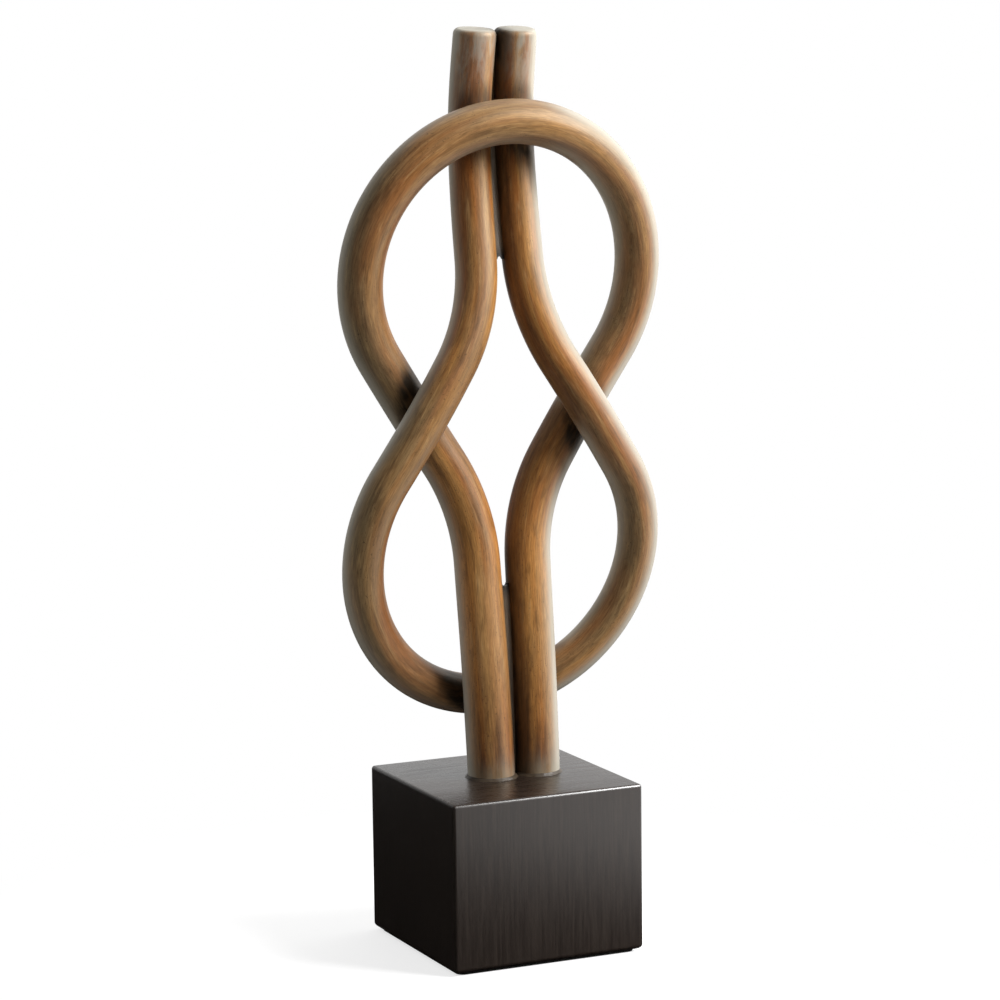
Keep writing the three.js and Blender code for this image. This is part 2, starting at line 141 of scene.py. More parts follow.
class BaseSizes(bpy.types.PropertyGroup):
    edge_rounding: length("Edge rounding", 1.6, "Rounding of the block's upright and top edges")
    bottom_rounding: length("Bottom rounding", 2.4, "Rounding of the block's bottom edges")
    mitre_gap: length("Mitre gap", 0.12, "Open joint between two boards")
    fit_gap: length("Fit gap", 0.3, "Gap round the feet, screws and pins")
    felt_rounding: length("Felt rounding", 4, "Corner radius of the felt")


class Finishes(bpy.types.PropertyGroup):
    tan: colour("Tan", 174, 124, 67, "Main colour of the peeled rattan")
    amber: colour("Amber", 204, 144, 76, "Warm stain of the lower legs")
    rust: colour("Rust", 148, 84, 34, "Red-brown stain streaks")
    # Umber also paints shade where other poles keep the light off.
    umber: colour("Umber", 80, 49, 22, "Dark stain streaks")
    # Olive also paints shade: on the loops it lies more thickly on the sides turned from the light.
    olive: colour("Olive", 128, 110, 80, "Grey-green patina")
    cream: colour("Cream", 202, 164, 112, "Rubbed pale streaks")
    # On the poles' edges this pale colour is a painted sheen; on the ends it is dust.
    dust: colour("Dust", 190, 187, 174, "Pale bloom at the poles' edges and ends")
    foot: colour("Foot", 176, 160, 150, "Darkening of the poles towards the base")
    # Besides soot, pores and dark grain, this colour paints shade in the crossings, grooves, bores and the
    # crotch of the legs.
    soot_and_shade: colour("Soot", 30, 24, 18, "Dark patina in the recesses")
    ebony: colour("Ebony", 38, 29, 24, "Stain of the base boards")
    ebony_grain: colour("Ebony grain", 52, 42, 35, "Pale grain of the base boards")
    glue: colour("Glue", 112, 96, 76, "Glue and filler")
    core: colour("Core", 178, 148, 106, "Bare wood inside the base")
    steel: colour("Steel", 168, 168, 166, "Plated screws, washers and pins")
    felt: colour("Felt", 34, 34, 36, "Felt under the base")


class StageSettings(bpy.types.PropertyGroup):
    azimuth: angle("Azimuth", -24.8208, "Camera direction round the object")
    elevation: angle("Elevation", 8.2656, "Camera height above the horizon")
    roll: angle("Roll", -0.7146, "Turn of the picture")
    distance: length("Distance", 1734, "From the camera to the point it looks at")
    target_x: length("Target across", -0.685, "Place across that the camera looks at")
    target_z: length("Target height", 223.47, "Height that the camera looks at")
    lens: FloatProperty(name="Lens", description="Focal length in millimetres", default=126.569)
    floor_size: length("Floor size", 30000, "Width of the pale floor")


# Places of the frame, in metres

BASE_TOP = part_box("base_panel_top")[1].z
BASE_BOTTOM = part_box("base_panel_front")[0].z
BASE_HALF_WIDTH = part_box("base_panel_right")[1].x
BASE_HALF_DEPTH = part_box("base_panel_back")[1].y
BOARD_THICKNESS = BASE_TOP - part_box("base_core")[1].z


# The poles' centre lines


def bent_half(sizes, end_spacing, span, tail):
    """Half a bent pole in the front view: its length, and its side and drop by distance from the crown."""
    bend, waist_bend = sizes.crown_radius, sizes.waist_radius
    splay_sin, splay_cos = math.sin(sizes.splay), math.cos(sizes.splay)
    toe_sin, toe_cos = math.sin(sizes.toe_in), math.cos(sizes.toe_in)
    crown = bend * (math.pi / 2 + sizes.splay)
    waist = waist_bend * (sizes.splay - sizes.toe_in)
    inward = bend * splay_cos - waist_bend * (toe_cos - splay_cos) - end_spacing / 2
    drop = span - bend * (1 + splay_sin) - waist_bend * (splay_sin - toe_sin)
    between = math.sin(sizes.splay - sizes.toe_in)
    flank = (inward * toe_cos - drop * toe_sin) / between
    leg = (drop * splay_sin - inward * splay_cos) / between
    whole = crown + flank + waist + leg + tail

    def at(distance):
        turn = np.minimum(distance, crown) / bend
        along = np.clip(distance - crown, 0, flank)
        heading = sizes.splay - np.clip(distance - crown - flank, 0, waist) / waist_bend
        down = np.clip(distance - crown - flank - waist, 0, leg)
        past = np.maximum(distance - whole + tail, 0)
        side = (bend * np.sin(turn) - along * splay_sin
                - waist_bend * (np.cos(heading) - splay_cos) - down * toe_sin)
        fall = (bend * (1 - np.cos(turn)) + along * splay_cos
                + waist_bend * (splay_sin - np.sin(heading)) + down * toe_cos + past)
        return side, fall

    return whole, at


def smooth_along(stations):
    """A smooth curve through values at given heights, lowest first, that runs on straight past its ends."""
    heights, values = (np.array(column) for column in zip(*stations))
    grades = np.diff(values) / np.diff(heights)
    slopes = np.zeros(len(stations))
    slopes[1:-1] = (grades[:-1] + grades[1:]) / 2
    slopes[0] = (3 * grades[0] - slopes[1]) / 2
    slopes[-1] = (3 * grades[-1] - slopes[-2]) / 2

    def at(height):
        inside = np.clip(height, heights[0], heights[-1])
        low = np.clip(np.searchsorted(heights, inside, side="right") - 1, 0, len(heights) - 2)
        step = heights[low + 1] - heights[low]
        s = (inside - heights[low]) / step
        curve = (values[low] * (1 + 2 * s) * (1 - s) ** 2 + values[low + 1] * s ** 2 * (3 - 2 * s)
                 + step * s * (1 - s) * (slopes[low] * (1 - s) - slopes[low + 1] * s))
        below = np.minimum(height - heights[0], 0) * slopes[0]
        above = np.maximum(height - heights[-1], 0) * slopes[-1]
        return curve + below + above

    return at


FINE_POINTS = 4001


class PoleLine:
    """The centre line of a pole, from its left end over the crown to its right end."""

    def __init__(self, sizes, crown_z, end_z, end_thickness, tail, radius, across, depth):
        self.sizes, self.crown_z, self.end_z = sizes, crown_z, end_z
        self.radius, self.across, self.depth = radius, across, depth
        spacing = end_thickness + sizes.leg_gap
        self.half_length, self.half = bent_half(sizes, spacing, abs(end_z - crown_z), tail)

    def centres(self, count):
        distance = np.linspace(-self.half_length, self.half_length, count)
        side, drop = self.half(np.abs(distance))
        height = self.crown_z + math.copysign(1, self.end_z - self.crown_z) * drop
        return np.column_stack([np.sign(distance) * side + self.across(height), self.depth(height), height])

    def leg_centre(self, hand, height):
        """The centre of the left (-1) or right (1) leg at a height."""
        line = self.centres(FINE_POINTS)
        crown = FINE_POINTS // 2
        leg = line[:crown] if hand < 0 else line[:crown:-1]
        order = np.argsort(leg[:, 2])
        across = np.interp(height, leg[order, 2], leg[order, 0])
        return Vector((across, float(self.depth(np.array(height))), height))


class Knot:
    """Both centre lines, and the heights at which the poles cross."""

    def __init__(self, sizes):
        self.lower_crown_z = BASE_TOP + sizes.lower_crown_rise
        self.upper_crown_z = self.lower_crown_z + sizes.knot_height
        self.waist_z = (self.lower_crown_z + self.upper_crown_z) / 2
        self.end_z = self.upper_crown_z + sizes.end_overhang
        self.foot_z = BASE_TOP - sizes.socket_depth

        def taper(crown, end, crown_z, end_z):
            return lambda z: (crown + (end - crown) * (z - crown_z) / (end_z - crown_z)) / 2

        standing = taper(sizes.standing_crown, sizes.standing_foot, self.upper_crown_z, BASE_TOP)
        hanging = taper(sizes.hanging_crown, sizes.hanging_end, self.lower_crown_z, self.end_z)

        def half_pitch(height):
            return (standing(height) + hanging(height) + sizes.crossing_gap) / 2

        def crown_sag(leg_thickness, sway):
            reach = (leg_thickness + sizes.leg_gap) / 2 + abs(sway)
            return sizes.crown_radius - math.sqrt(sizes.crown_radius ** 2 - reach ** 2)

        low = self.lower_crown_z + crown_sag(sizes.standing_foot, sizes.hanging_crown_sway)
        high = self.upper_crown_z - crown_sag(
            sizes.hanging_end, sizes.hanging_end_sway - sizes.standing_crown_sway)
        waist = self.waist_z
        knot_y = sizes.foot_y + sizes.knot_setback
        lower_y = knot_y + sizes.lower_setback
        standing_across = smooth_along([
            (self.foot_z, sizes.foot_x),
            (BASE_TOP, sizes.foot_x),
            (waist, sizes.foot_x + sizes.standing_waist_sway),
            (self.upper_crown_z, sizes.foot_x + sizes.standing_crown_sway),
        ])
        hanging_across = smooth_along([
            (self.lower_crown_z, sizes.foot_x + sizes.hanging_crown_sway),
            (waist, sizes.foot_x + sizes.hanging_waist_sway),
            (high, sizes.foot_x + sizes.hanging_end_sway),
            (self.end_z, sizes.foot_x + sizes.hanging_end_sway),
        ])
        standing_depth = smooth_along([
            (self.foot_z, sizes.foot_y),
            (BASE_TOP, sizes.foot_y),
            (low, lower_y - half_pitch(low)),
            (waist, knot_y + half_pitch(waist)),
            (high, knot_y - half_pitch(high)),
        ])
        hanging_depth = smooth_along([
            (low, lower_y + half_pitch(low)),
            (waist, knot_y - half_pitch(waist)),
            (high, knot_y + half_pitch(high)),
            (self.end_z, knot_y + sizes.end_setback),
        ])
        self.standing = PoleLine(
            sizes, self.upper_crown_z, BASE_TOP, sizes.standing_foot, sizes.socket_depth,
            standing, standing_across, standing_depth,
        )
        self.hanging = PoleLine(
            sizes, self.lower_crown_z, self.end_z, sizes.hanging_end, 0,
            hanging, hanging_across, hanging_depth,
        )


# Modelling helpers


def start_piece(name, add, **settings):
    """Adds a primitive by its operator, with nothing else selected, and puts its place in its mesh."""
    bpy.ops.object.select_all(action="DESELECT")
    add(**settings)
    piece = bpy.context.object
    piece.name = name
    piece.data.name = name
    bpy.ops.object.transform_apply(location=True, rotation=True, scale=True)
    return piece


def only(piece):
    bpy.ops.object.select_all(action="DESELECT")
    piece.select_set(True)
    bpy.context.view_layer.objects.active = piece


def edit(piece, kind, wanted):
    """Enters edit mode with only those vertices, edges or faces selected that the test wants."""
    only(piece)
    bpy.ops.object.mode_set(mode="EDIT")
    bpy.ops.mesh.select_mode(type={"verts": "VERT", "edges": "EDGE", "faces": "FACE"}[kind])
    bpy.ops.mesh.select_all(action="DESELECT")
    mesh = bmesh.from_edit_mesh(piece.data)
    for element in getattr(mesh, kind):
        element.select_set(wanted(element))
    bmesh.update_edit_mesh(piece.data)


def end_edit():
    bpy.ops.object.mode_set(mode="OBJECT")


def modify(piece, kind, **settings):
    """Adds a modifier and applies it."""
    only(piece)
    modifier = piece.modifiers.new(kind.title(), kind)
    for key, value in settings.items():
        setattr(modifier, key, value)
    bpy.ops.object.modifier_apply(modifier=modifier.name)


def bevel_edges(piece, wanted, offset, segments):
    """Rounds the edges that the test wants."""
    edit(piece, "edges", wanted)
    bpy.ops.mesh.bevel(offset=offset, segments=segments, affect="EDGES")
    end_edit()


def add_rings(piece, count, wanted=lambda edge: not level(edge)):
    """Cuts level rings across the upright edges, or across those that the test wants."""
    edit(piece, "edges", wanted)
    bpy.ops.mesh.subdivide_edgering(number_cuts=count, interpolation="LINEAR", smoothness=0)
    end_edit()


def cut(piece, *tools):
    for tool in tools:
        modify(piece, "BOOLEAN", operation="DIFFERENCE", solver="MANIFOLD", object=tool)


def discard(*objects):
    for item in objects:
        bpy.data.objects.remove(item)


def level(edge):
    return abs(edge.verts[0].co.z - edge.verts[1].co.z) < 1e-6


def roughen(piece, amount, grain, stretch=1.0):
    """Pushes the surface in and out by soft noise, stretched along Z."""
    bpy.ops.object.empty_add(location=(0, 0, 0))
    ruler = bpy.context.object
    ruler.scale = (1, 1, stretch)
    texture = bpy.data.textures.new("unevenness", "CLOUDS")
    texture.noise_scale = grain
    texture.noise_depth = 2
    bpy.context.view_layer.update()
    modify(piece, "DISPLACE", texture=texture, texture_coords="OBJECT",
           texture_coords_object=ruler, strength=amount, mid_level=0.5)
    discard(ruler)
    bpy.data.textures.remove(texture)


def coordinates(piece, field="co"):
    """The places of all vertices in rows, or their normals."""
    flat = np.zeros(len(piece.data.vertices) * 3)
    piece.data.vertices.foreach_get(field, flat)
    return flat.reshape(-1, 3)


def move_points(piece, points):
    piece.data.vertices.foreach_set("co", points.ravel())
    piece.data.update()


def nearest_of(points, targets):
    """The place, the number and the distance of the target nearest to each point."""
    tree = KDTree(len(targets))
    for index, target in enumerate(targets):
        tree.insert(target, index)
    tree.balance()
    return [tree.find(point) for point in points]


def note(piece, name, kind, values):
    """Stores a value or a vector for each vertex."""
    attribute = piece.data.attributes.get(name) or piece.data.attributes.new(name, kind, "POINT")
    field = "vector" if kind == "FLOAT_VECTOR" else "value"
    attribute.data.foreach_set(field, np.asarray(values, np.float32).ravel())


def read_note(piece, name):
    """The stored values, or vectors in rows, of all vertices."""
    attribute = piece.data.attributes[name]
    is_vector = attribute.data_type == "FLOAT_VECTOR"
    flat = np.zeros(len(piece.data.vertices) * (3 if is_vector else 1), np.float32)
    attribute.data.foreach_get("vector" if is_vector else "value", flat)
    return flat.reshape(-1, 3) if is_vector else flat


SMOOTH_ANGLE = math.radians(40)


def finish_piece(piece, material, slot, *nodes):
    """Shades, dresses and ties a finished piece to the frame."""
    only(piece)
    bpy.ops.object.shade_smooth_by_angle(angle=SMOOTH_ANGLE)
    piece.data.materials.clear()
    piece.data.materials.append(material)
    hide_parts(*nodes)
    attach(piece, "root")


# Material helpers


def place(tree, kind, inputs=None, **settings):
    """Adds a node, sets its settings, and sets or links its inputs."""
    made = tree.nodes.new(kind)
    for key, value in settings.items():
        setattr(made, key, value)
    for key, value in (inputs or {}).items():
        if isinstance(value, bpy.types.NodeSocket):
            tree.links.new(value, made.inputs[key])
        else:
            made.inputs[key].default_value = value
    return made


def calc(tree, operation, first, second=0.0, clamp=False):
    return place(tree, "ShaderNodeMath", {0: first, 1: second}, operation=operation,
                 use_clamp=clamp).outputs[0]


def remap(tree, value, low, high, new_low=0.0, new_high=1.0):
    """Takes a value from one range to another with soft ends."""
    inputs = {"Value": value, "From Min": low, "From Max": high, "To Min": new_low, "To Max": new_high}
    return place(tree, "ShaderNodeMapRange", inputs, interpolation_type="SMOOTHSTEP").outputs["Result"]


def blend(tree, factor, first, second, mode="MIX"):
    def rgba(value):
        return value if isinstance(value, bpy.types.NodeSocket) else (*value, 1.0)[:4]
    mixer = place(tree, "ShaderNodeMix", {0: factor, 6: rgba(first), 7: rgba(second)},
                  data_type="RGBA", blend_type=mode)
    return mixer.outputs[2]


def noise(tree, vector, scale, detail=3.0, roughness=0.55, distortion=0.0):
    inputs = {"Vector": vector, "Scale": scale, "Detail": detail, "Roughness": roughness,
              "Distortion": distortion}
    return place(tree, "ShaderNodeTexNoise", inputs).outputs["Fac"]


def stretched(tree, vector, scale, offset=(0, 0, 0)):
    inputs = {"Vector": vector, "Scale": scale, "Location": offset}
    return place(tree, "ShaderNodeMapping", inputs).outputs[0]


def bumped(tree, height, distance, strength):
    inputs = {"Height": height, "Distance": distance, "Strength": strength}
    return place(tree, "ShaderNodeBump", inputs).outputs["Normal"]


def new_material(name):
    """An empty node material: its tree and its Principled shader."""
    material = bpy.data.materials.new(name)
    material.use_nodes = True
    tree = material.node_tree
    tree.nodes.clear()
    shader = tree.nodes.new("ShaderNodeBsdfPrincipled")
    output = tree.nodes.new("ShaderNodeOutputMaterial")
    tree.links.new(shader.outputs["BSDF"], output.inputs["Surface"])
    return material, tree, shader


def feed(tree, shader, **sockets):
    """Links or sets the shader's inputs, whose names have underscores here for spaces."""
    for key, value in sockets.items():
        socket = shader.inputs[key.replace("_", " ")]
        if isinstance(value, bpy.types.NodeSocket):
            tree.links.new(value, socket)
        else:
            socket.default_value = value


def lengthwise_grain():
    """A node group: grain that runs along Z of the vector it is given, in metres."""
    name = "Lengthwise grain"
    if name in bpy.data.node_groups:
        return bpy.data.node_groups[name]
    group = bpy.data.node_groups.new(name, "ShaderNodeTree")
    sockets = group.interface
    sockets.new_socket("Vector", in_out="INPUT", socket_type="NodeSocketVector")
    for socket, default in (("Fineness", 1.0), ("Stretch", 30.0)):
        made = sockets.new_socket(socket, in_out="INPUT", socket_type="NodeSocketFloat")
        made.default_value = default
    for socket in ("Bands", "Streaks", "Fibres", "Pores"):
        sockets.new_socket(socket, in_out="OUTPUT", socket_type="NodeSocketFloat")
    given = group.nodes.new("NodeGroupInput").outputs
    across = calc(group, "MULTIPLY", given["Fineness"], 1000.0)
    along = calc(group, "DIVIDE", across, given["Stretch"])
    scale = place(group, "ShaderNodeCombineXYZ", {"X": across, "Y": across, "Z": along}).outputs[0]
    laid = place(group, "ShaderNodeVectorMath", {0: given["Vector"], 1: scale},
                 operation="MULTIPLY").outputs[0]
    bands = noise(group, laid, 0.09, 2.0, 0.5, 0.3)
    streaks = noise(group, laid, 0.32, 4.0, 0.6, 0.4)
    fibres = noise(group, laid, 1.5, 3.0, 0.65, 0.2)
    pores = noise(group, stretched(group, laid, (1, 1, 6)), 1.1, 1.0, 0.5)
    place(group, "NodeGroupOutput", {"Bands": bands, "Streaks": streaks, "Fibres": fibres, "Pores": pores})
    return group


def grain(tree, vector, fineness, stretch):
    inputs = {"Vector": vector, "Fineness": fineness, "Stretch": stretch}
    return place(tree, "ShaderNodeGroup", inputs, node_tree=lengthwise_grain()).outputs


def object_place(tree):
    return tree.nodes.new("ShaderNodeTexCoord").outputs["Object"]


# Materials


def rattan_material(finishes):
    """Peeled rattan, stained and rubbed: streaks along the pole, sooty recesses with painted shade, painted
    shade where other poles keep the light off, olive patina laid more on the sides turned from the light,
    dusty ends, and a painted sheen on the edges.
    """
    material, tree, shader = new_material("stained rattan")

    def noted(name, output="Fac"):
        return place(tree, "ShaderNodeAttribute", attribute_name=name).outputs[output]

    straight = noted("straight", "Vector")
    foot = noted("foot")
    coarse = grain(tree, straight, 1.0, 15.0)
    other = grain(tree, stretched(tree, straight, (1, 1, 1), (0.31, 0.17, 0.53)), 1.3, 10.0)
    patchy = grain(tree, stretched(tree, straight, (1, 1, 1), (0.77, 0.41, 0.12)), 0.8, 4.0)

    tint = blend(tree, remap(tree, coarse["Bands"], 0.4, 0.6, 0.0, 0.85), finishes.tan, finishes.rust)
    tint = blend(tree, calc(tree, "MULTIPLY", noted("leg"), 0.45), tint, finishes.amber)
    tint = blend(tree, remap(tree, other["Bands"], 0.45, 0.64, 0.0, 0.4), tint, finishes.olive)
    # Olive patina on the loops and near the crown; on the loops it lies more on the sides turned from the
    # light, as painted shade
    aged = remap(tree, patchy["Bands"], 0.3, 0.6, 0.5, 0.95)
    tint = blend(tree, calc(tree, "MULTIPLY", noted("loop"), aged), tint, finishes.olive)
    tint = blend(tree, remap(tree, coarse["Streaks"], 0.48, 0.76, 0.0, 0.6), tint, finishes.umber)
    tint = blend(tree, remap(tree, other["Streaks"], 0.5, 0.76, 0.0, 0.4), tint, finishes.cream)
    tint = blend(tree, remap(tree, patchy["Streaks"], 0.5, 0.72, 0.0, 0.4), tint, finishes.umber)
    fibres = calc(tree, "MULTIPLY", calc(tree, "ADD", coarse["Fibres"], other["Fibres"]), 0.5)
    fibre_level = remap(tree, fibres, 0.36, 0.64, 0.76, 1.2)
    tint = blend(tree, 1.0, tint, place(tree, "ShaderNodeCombineColor", {
        0: fibre_level, 1: fibre_level, 2: fibre_level}).outputs[0], "MULTIPLY")
    specks = calc(tree, "MULTIPLY", remap(tree, other["Pores"], 0.65, 0.73, 0.0, 0.5),
                  remap(tree, patchy["Bands"], 0.4, 0.55))
    tint = blend(tree, specks, tint, finishes.soot_and_shade)
    ragged = remap(tree, coarse["Streaks"], 0.3, 0.7, 0.7, 1.3)
    tint = blend(tree, calc(tree, "MULTIPLY", foot, ragged, True), tint, finishes.foot, "MULTIPLY")
    worn = remap(tree, foot, 0.8, 1.0, 0.0, 0.55)
    tint = blend(tree, worn, tint, finishes.olive)
    dusty = calc(tree, "MULTIPLY", noted("end"), remap(tree, patchy["Streaks"], 0.35, 0.65, 0.15, 0.6))
    tint = blend(tree, dusty, tint, finishes.dust)
    tint = blend(tree, calc(tree, "MULTIPLY", noted("rim"), 0.4), tint, finishes.olive)
    # Soot and painted shade in the crossings, grooves and bores, made patchy
    recess_patchiness = remap(tree, patchy["Streaks"], 0.3, 0.7, 0.75, 1.3)
    recess = calc(tree, "MULTIPLY", noted("recess"), recess_patchiness, True)
    # Painted shade where other poles keep the light off, in umber
    tint = blend(tree, calc(tree, "MULTIPLY", noted("sheltered"), 0.52), tint, finishes.umber)
    # Painted sheen: a pale colour grows towards the edges that turn away from the view, where grazing light
    # catches. The stored mask leaves it out in the painted shade and near the crown's left.
    facing = place(tree, "ShaderNodeLayerWeight", {"Blend": 0.5}).outputs["Facing"]
    painted_edge_sheen = calc(tree, "MULTIPLY", remap(tree, facing, 0.05, 0.65, 0.0, 0.82), noted("dust"))
    tint = blend(tree, painted_edge_sheen, tint, finishes.dust)
    # Lays the soot and painted shade over all
    tint = blend(tree, recess, tint, finishes.soot_and_shade)

    gloss = remap(tree, coarse["Streaks"], 0.3, 0.7, 0.36, 0.5)
    height = calc(tree, "ADD", calc(tree, "MULTIPLY", coarse["Streaks"], 0.6),
                  calc(tree, "MULTIPLY", coarse["Fibres"], 0.25))
    feed(tree, shader, Base_Color=tint, Roughness=gloss, Normal=bumped(tree, height, 0.0004, 0.6),
         Specular_Tint=(1.0, 0.82, 0.62, 1.0))
    return material


def ebony_material(name, finishes, turn, lacquer, polish):
    """Wood stained near black under a satin lacquer; the grain runs along Z, turned for each board."""
    material, tree, shader = new_material(name)
    place_on_board = place(tree, "ShaderNodeMapping", {
        "Vector": object_place(tree), "Rotation": turn}).outputs[0]
    lines = grain(tree, place_on_board, 2.2, 24.0)
    tint = blend(tree, remap(tree, lines["Streaks"], 0.32, 0.72), finishes.ebony, finishes.ebony_grain)
    tint = blend(tree, remap(tree, lines["Fibres"], 0.45, 0.7, 0.0, 0.55), tint, finishes.soot_and_shade)
    gloss = remap(tree, lines["Streaks"], 0.3, 0.7, polish, polish + 0.1)
    height = calc(tree, "ADD", lines["Streaks"], calc(tree, "MULTIPLY", lines["Fibres"], 0.5))
    feed(tree, shader, Base_Color=tint, Roughness=gloss, Normal=bumped(tree, height, 0.0003, 0.25),
         Coat_Weight=lacquer, Coat_Roughness=0.3, Coat_IOR=1.65)
    return material


def glue_material(finishes):
    """Dusty glue and filler, darkened in the crotch of the legs as painted shade."""
    material, tree, shader = new_material("dusty glue")
    where = object_place(tree)
    dusty = noise(tree, stretched(tree, where, (1, 1, 0.3)), 420.0, 3.0, 0.5)
    tint = blend(tree, remap(tree, dusty, 0.45, 0.8, 0.0, 0.35), finishes.glue, finishes.umber)
    # Painted shade in the crotch of the legs; the bead is darker all over
    grime = place(tree, "ShaderNodeAttribute", attribute_name="grime").outputs["Fac"]
    tint = blend(tree, grime, tint, finishes.soot_and_shade)
    gloss = remap(tree, noise(tree, where, 160.0), 0.35, 0.7, 0.35, 0.5)
    feed(tree, shader, Base_Color=tint, Roughness=gloss, Normal=bumped(tree, dusty, 0.0002, 0.3))
    return material


def core_material(finishes):
    """Bare sawn wood."""
    material, tree, shader = new_material("bare core wood")
    lines = grain(tree, object_place(tree), 0.7, 22.0)
    tint = blend(tree, remap(tree, lines["Streaks"], 0.35, 0.7), finishes.core, finishes.rust)
    feed(tree, shader, Base_Color=tint, Roughness=0.8,
         Normal=bumped(tree, lines["Fibres"], 0.0004, 0.5))
    return material


def steel_material(finishes):
    """Plated steel with fine turning marks."""
    material, tree, shader = new_material("plated steel")
    marks = noise(tree, stretched(tree, object_place(tree), (300, 300, 4000)), 1.0, 2.0)
    tint = blend(tree, remap(tree, marks, 0.3, 0.7, 0.0, 0.35), finishes.steel, finishes.umber)
    feed(tree, shader, Base_Color=tint, Metallic=1.0,
         Roughness=remap(tree, marks, 0.3, 0.7, 0.25, 0.42))
    return material


def felt_material(finishes):
    """Pressed felt: matted hairs with a soft edge."""
    material, tree, shader = new_material("pressed felt")
    where = object_place(tree)
    hairs = noise(tree, where, 1800.0, 5.0, 0.75, 1.5)
    tint = blend(tree, remap(tree, hairs, 0.35, 0.7), finishes.soot_and_shade, finishes.felt)
    feed(tree, shader, Base_Color=tint, Roughness=0.95, Sheen_Weight=0.3,
         Normal=bumped(tree, hairs, 0.0006, 0.8))
    return material


# Pieces

POLE_SIDES = 72
RING_SPACING = 1.5 * MM
POLE_FULLNESS = 0.985  # keeps the round pole inside its faceted solid's corners
WAVE_GRAIN, WAVE_STRETCH = 30 * MM, 5.0
RIM_REACH = 1.6  # of the end rounding


def bent_pole(name, line, sizes):
    """A round bar, rounded at its sawn ends, made uneven and then bent along its centre line."""
    rings = round(2 * line.half_length / RING_SPACING)
    centres = line.centres(rings + 1)
    radii = line.radius(centres[:, 2]) * POLE_FULLNESS
    run = float(np.linalg.norm(np.diff(centres, axis=0), axis=1).sum())
    radius = float(radii.mean())
    pole = start_piece(name, bpy.ops.mesh.primitive_cylinder_add, vertices=POLE_SIDES, radius=radius,
                       depth=run, location=(0, 0, run / 2))
    bevel_edges(pole, level, sizes.end_rounding, 5)
    add_rings(pole, rings, lambda edge: not level(edge) and edge.calc_length() > run / 2)

    points = coordinates(pole)
    note(pole, "straight", "FLOAT_VECTOR", points)
    from_end = np.minimum(points[:, 2], run - points[:, 2])
    note(pole, "rim", "FLOAT", np.clip(1 - from_end / (RIM_REACH * sizes.end_rounding), 0, 1))
    roughen(pole, sizes.waviness, WAVE_GRAIN, WAVE_STRETCH)

    bpy.ops.curve.primitive_bezier_curve_add()
    path = bpy.context.object
    path.data.splines.clear()
    spline = path.data.splines.new("POLY")
    spline.points.add(rings)
    spline.points.foreach_set("co", np.column_stack([centres, np.ones(rings + 1)]).ravel())
    spline.points.foreach_set("radius", radii / radius)
    path.data.dimensions = "3D"
    path.data.twist_mode = "MINIMUM"
    path.data.use_radius = True
    path.data.use_stretch = True
    path.data.use_deform_bounds = True
    path.location = (0, 0, 0)
    bpy.context.view_layer.update()
    modify(pole, "CURVE", object=path, deform_axis="POS_Z")
    discard(path)
    return pole


def level_ends(pole, sizes):
    """Tips the sawn ends up at the front, as far as their back rims are high."""
    points = coordinates(pole)
    run = read_note(pole, "straight")[:, 2]
    from_end = np.minimum(run, run.max() - run)
    near = np.clip(1 - from_end / sizes.hanging_end, 0, 1)
    back = points[near > 0.9, 1].max()
    points[:, 2] += math.tan(sizes.end_levelling) * (back - points[:, 1]) * near ** 2
    move_points(pole, points)


def soft_step(share):
    share = np.clip(share, 0, 1)
    return share * share * (3 - 2 * share)


def gaps_to(points, centres, radii):
    """How far each point lies from the surface of a round bar, and the way to the bar's middle."""
    found = nearest_of(points, centres)
    distances = np.array([distance for _, _, distance in found])
    gaps = distances - radii[[index for _, index, _ in found]]
    ways = (np.array([nearest for nearest, _, _ in found]) - points) / distances[:, None]
    return gaps, ways


# Patina, painted shade and painted edge sheen of the poles: strengths from 0 to 1, reaches and places in
# metres

# Right and back as the camera sees them; the painted shade and sheen of the stain fall as if the light came
# from the right
TO_THE_RIGHT = (0.908, -0.419, 0)
TO_THE_BACK = (0.419, 0.908, 0)
LINE_POINTS = 801
LEG_POINTS = 281
# Reaches and strengths of the soot with painted shade at the crossings, and of the painted shade in the
# grooves and bores
SOOT_AND_SHADE_REACH = 14 * MM
SOOT_AND_SHADE_FADE = 8 * MM
CROSSING_SOOT_AND_SHADE = 0.95
SHADED_GROOVE_REACH = 11 * MM
SHADED_GROOVE_SHADE = 0.92
LIT_GROOVE_REACH = 9 * MM
LIT_GROOVE_SHADE = 0.8
BORE_SHADE = 0.85
LOOP_START = 25 * MM
LOOP_END = 235 * MM
LOOP_FADE = 60 * MM
CROWN_PATINA = 0.5
CROWN_REACH = 120 * MM
# Where the painted edge sheen is left out near the crown
CROWN_SHEEN_CUT = 0.8
CROWN_SHEEN_CUT_END = 42 * MM
CROWN_SHEEN_CUT_FADE = 25 * MM
END_PATINA = 55 * MM
# Places across where the painted shade from neighbouring poles begins and ends, its strength on the right
# legs, and where the painted edge sheen starts on the left legs
SHELTER_START = -5 * MM
SHELTER_END = 48 * MM
SHELTER_FADE = 10 * MM
LEG_PAINTED_SHADE = 0.95
EDGE_SHEEN_START = 14 * MM
LOWER_LEG = 170 * MM
FOOT_PATINA = 65 * MM


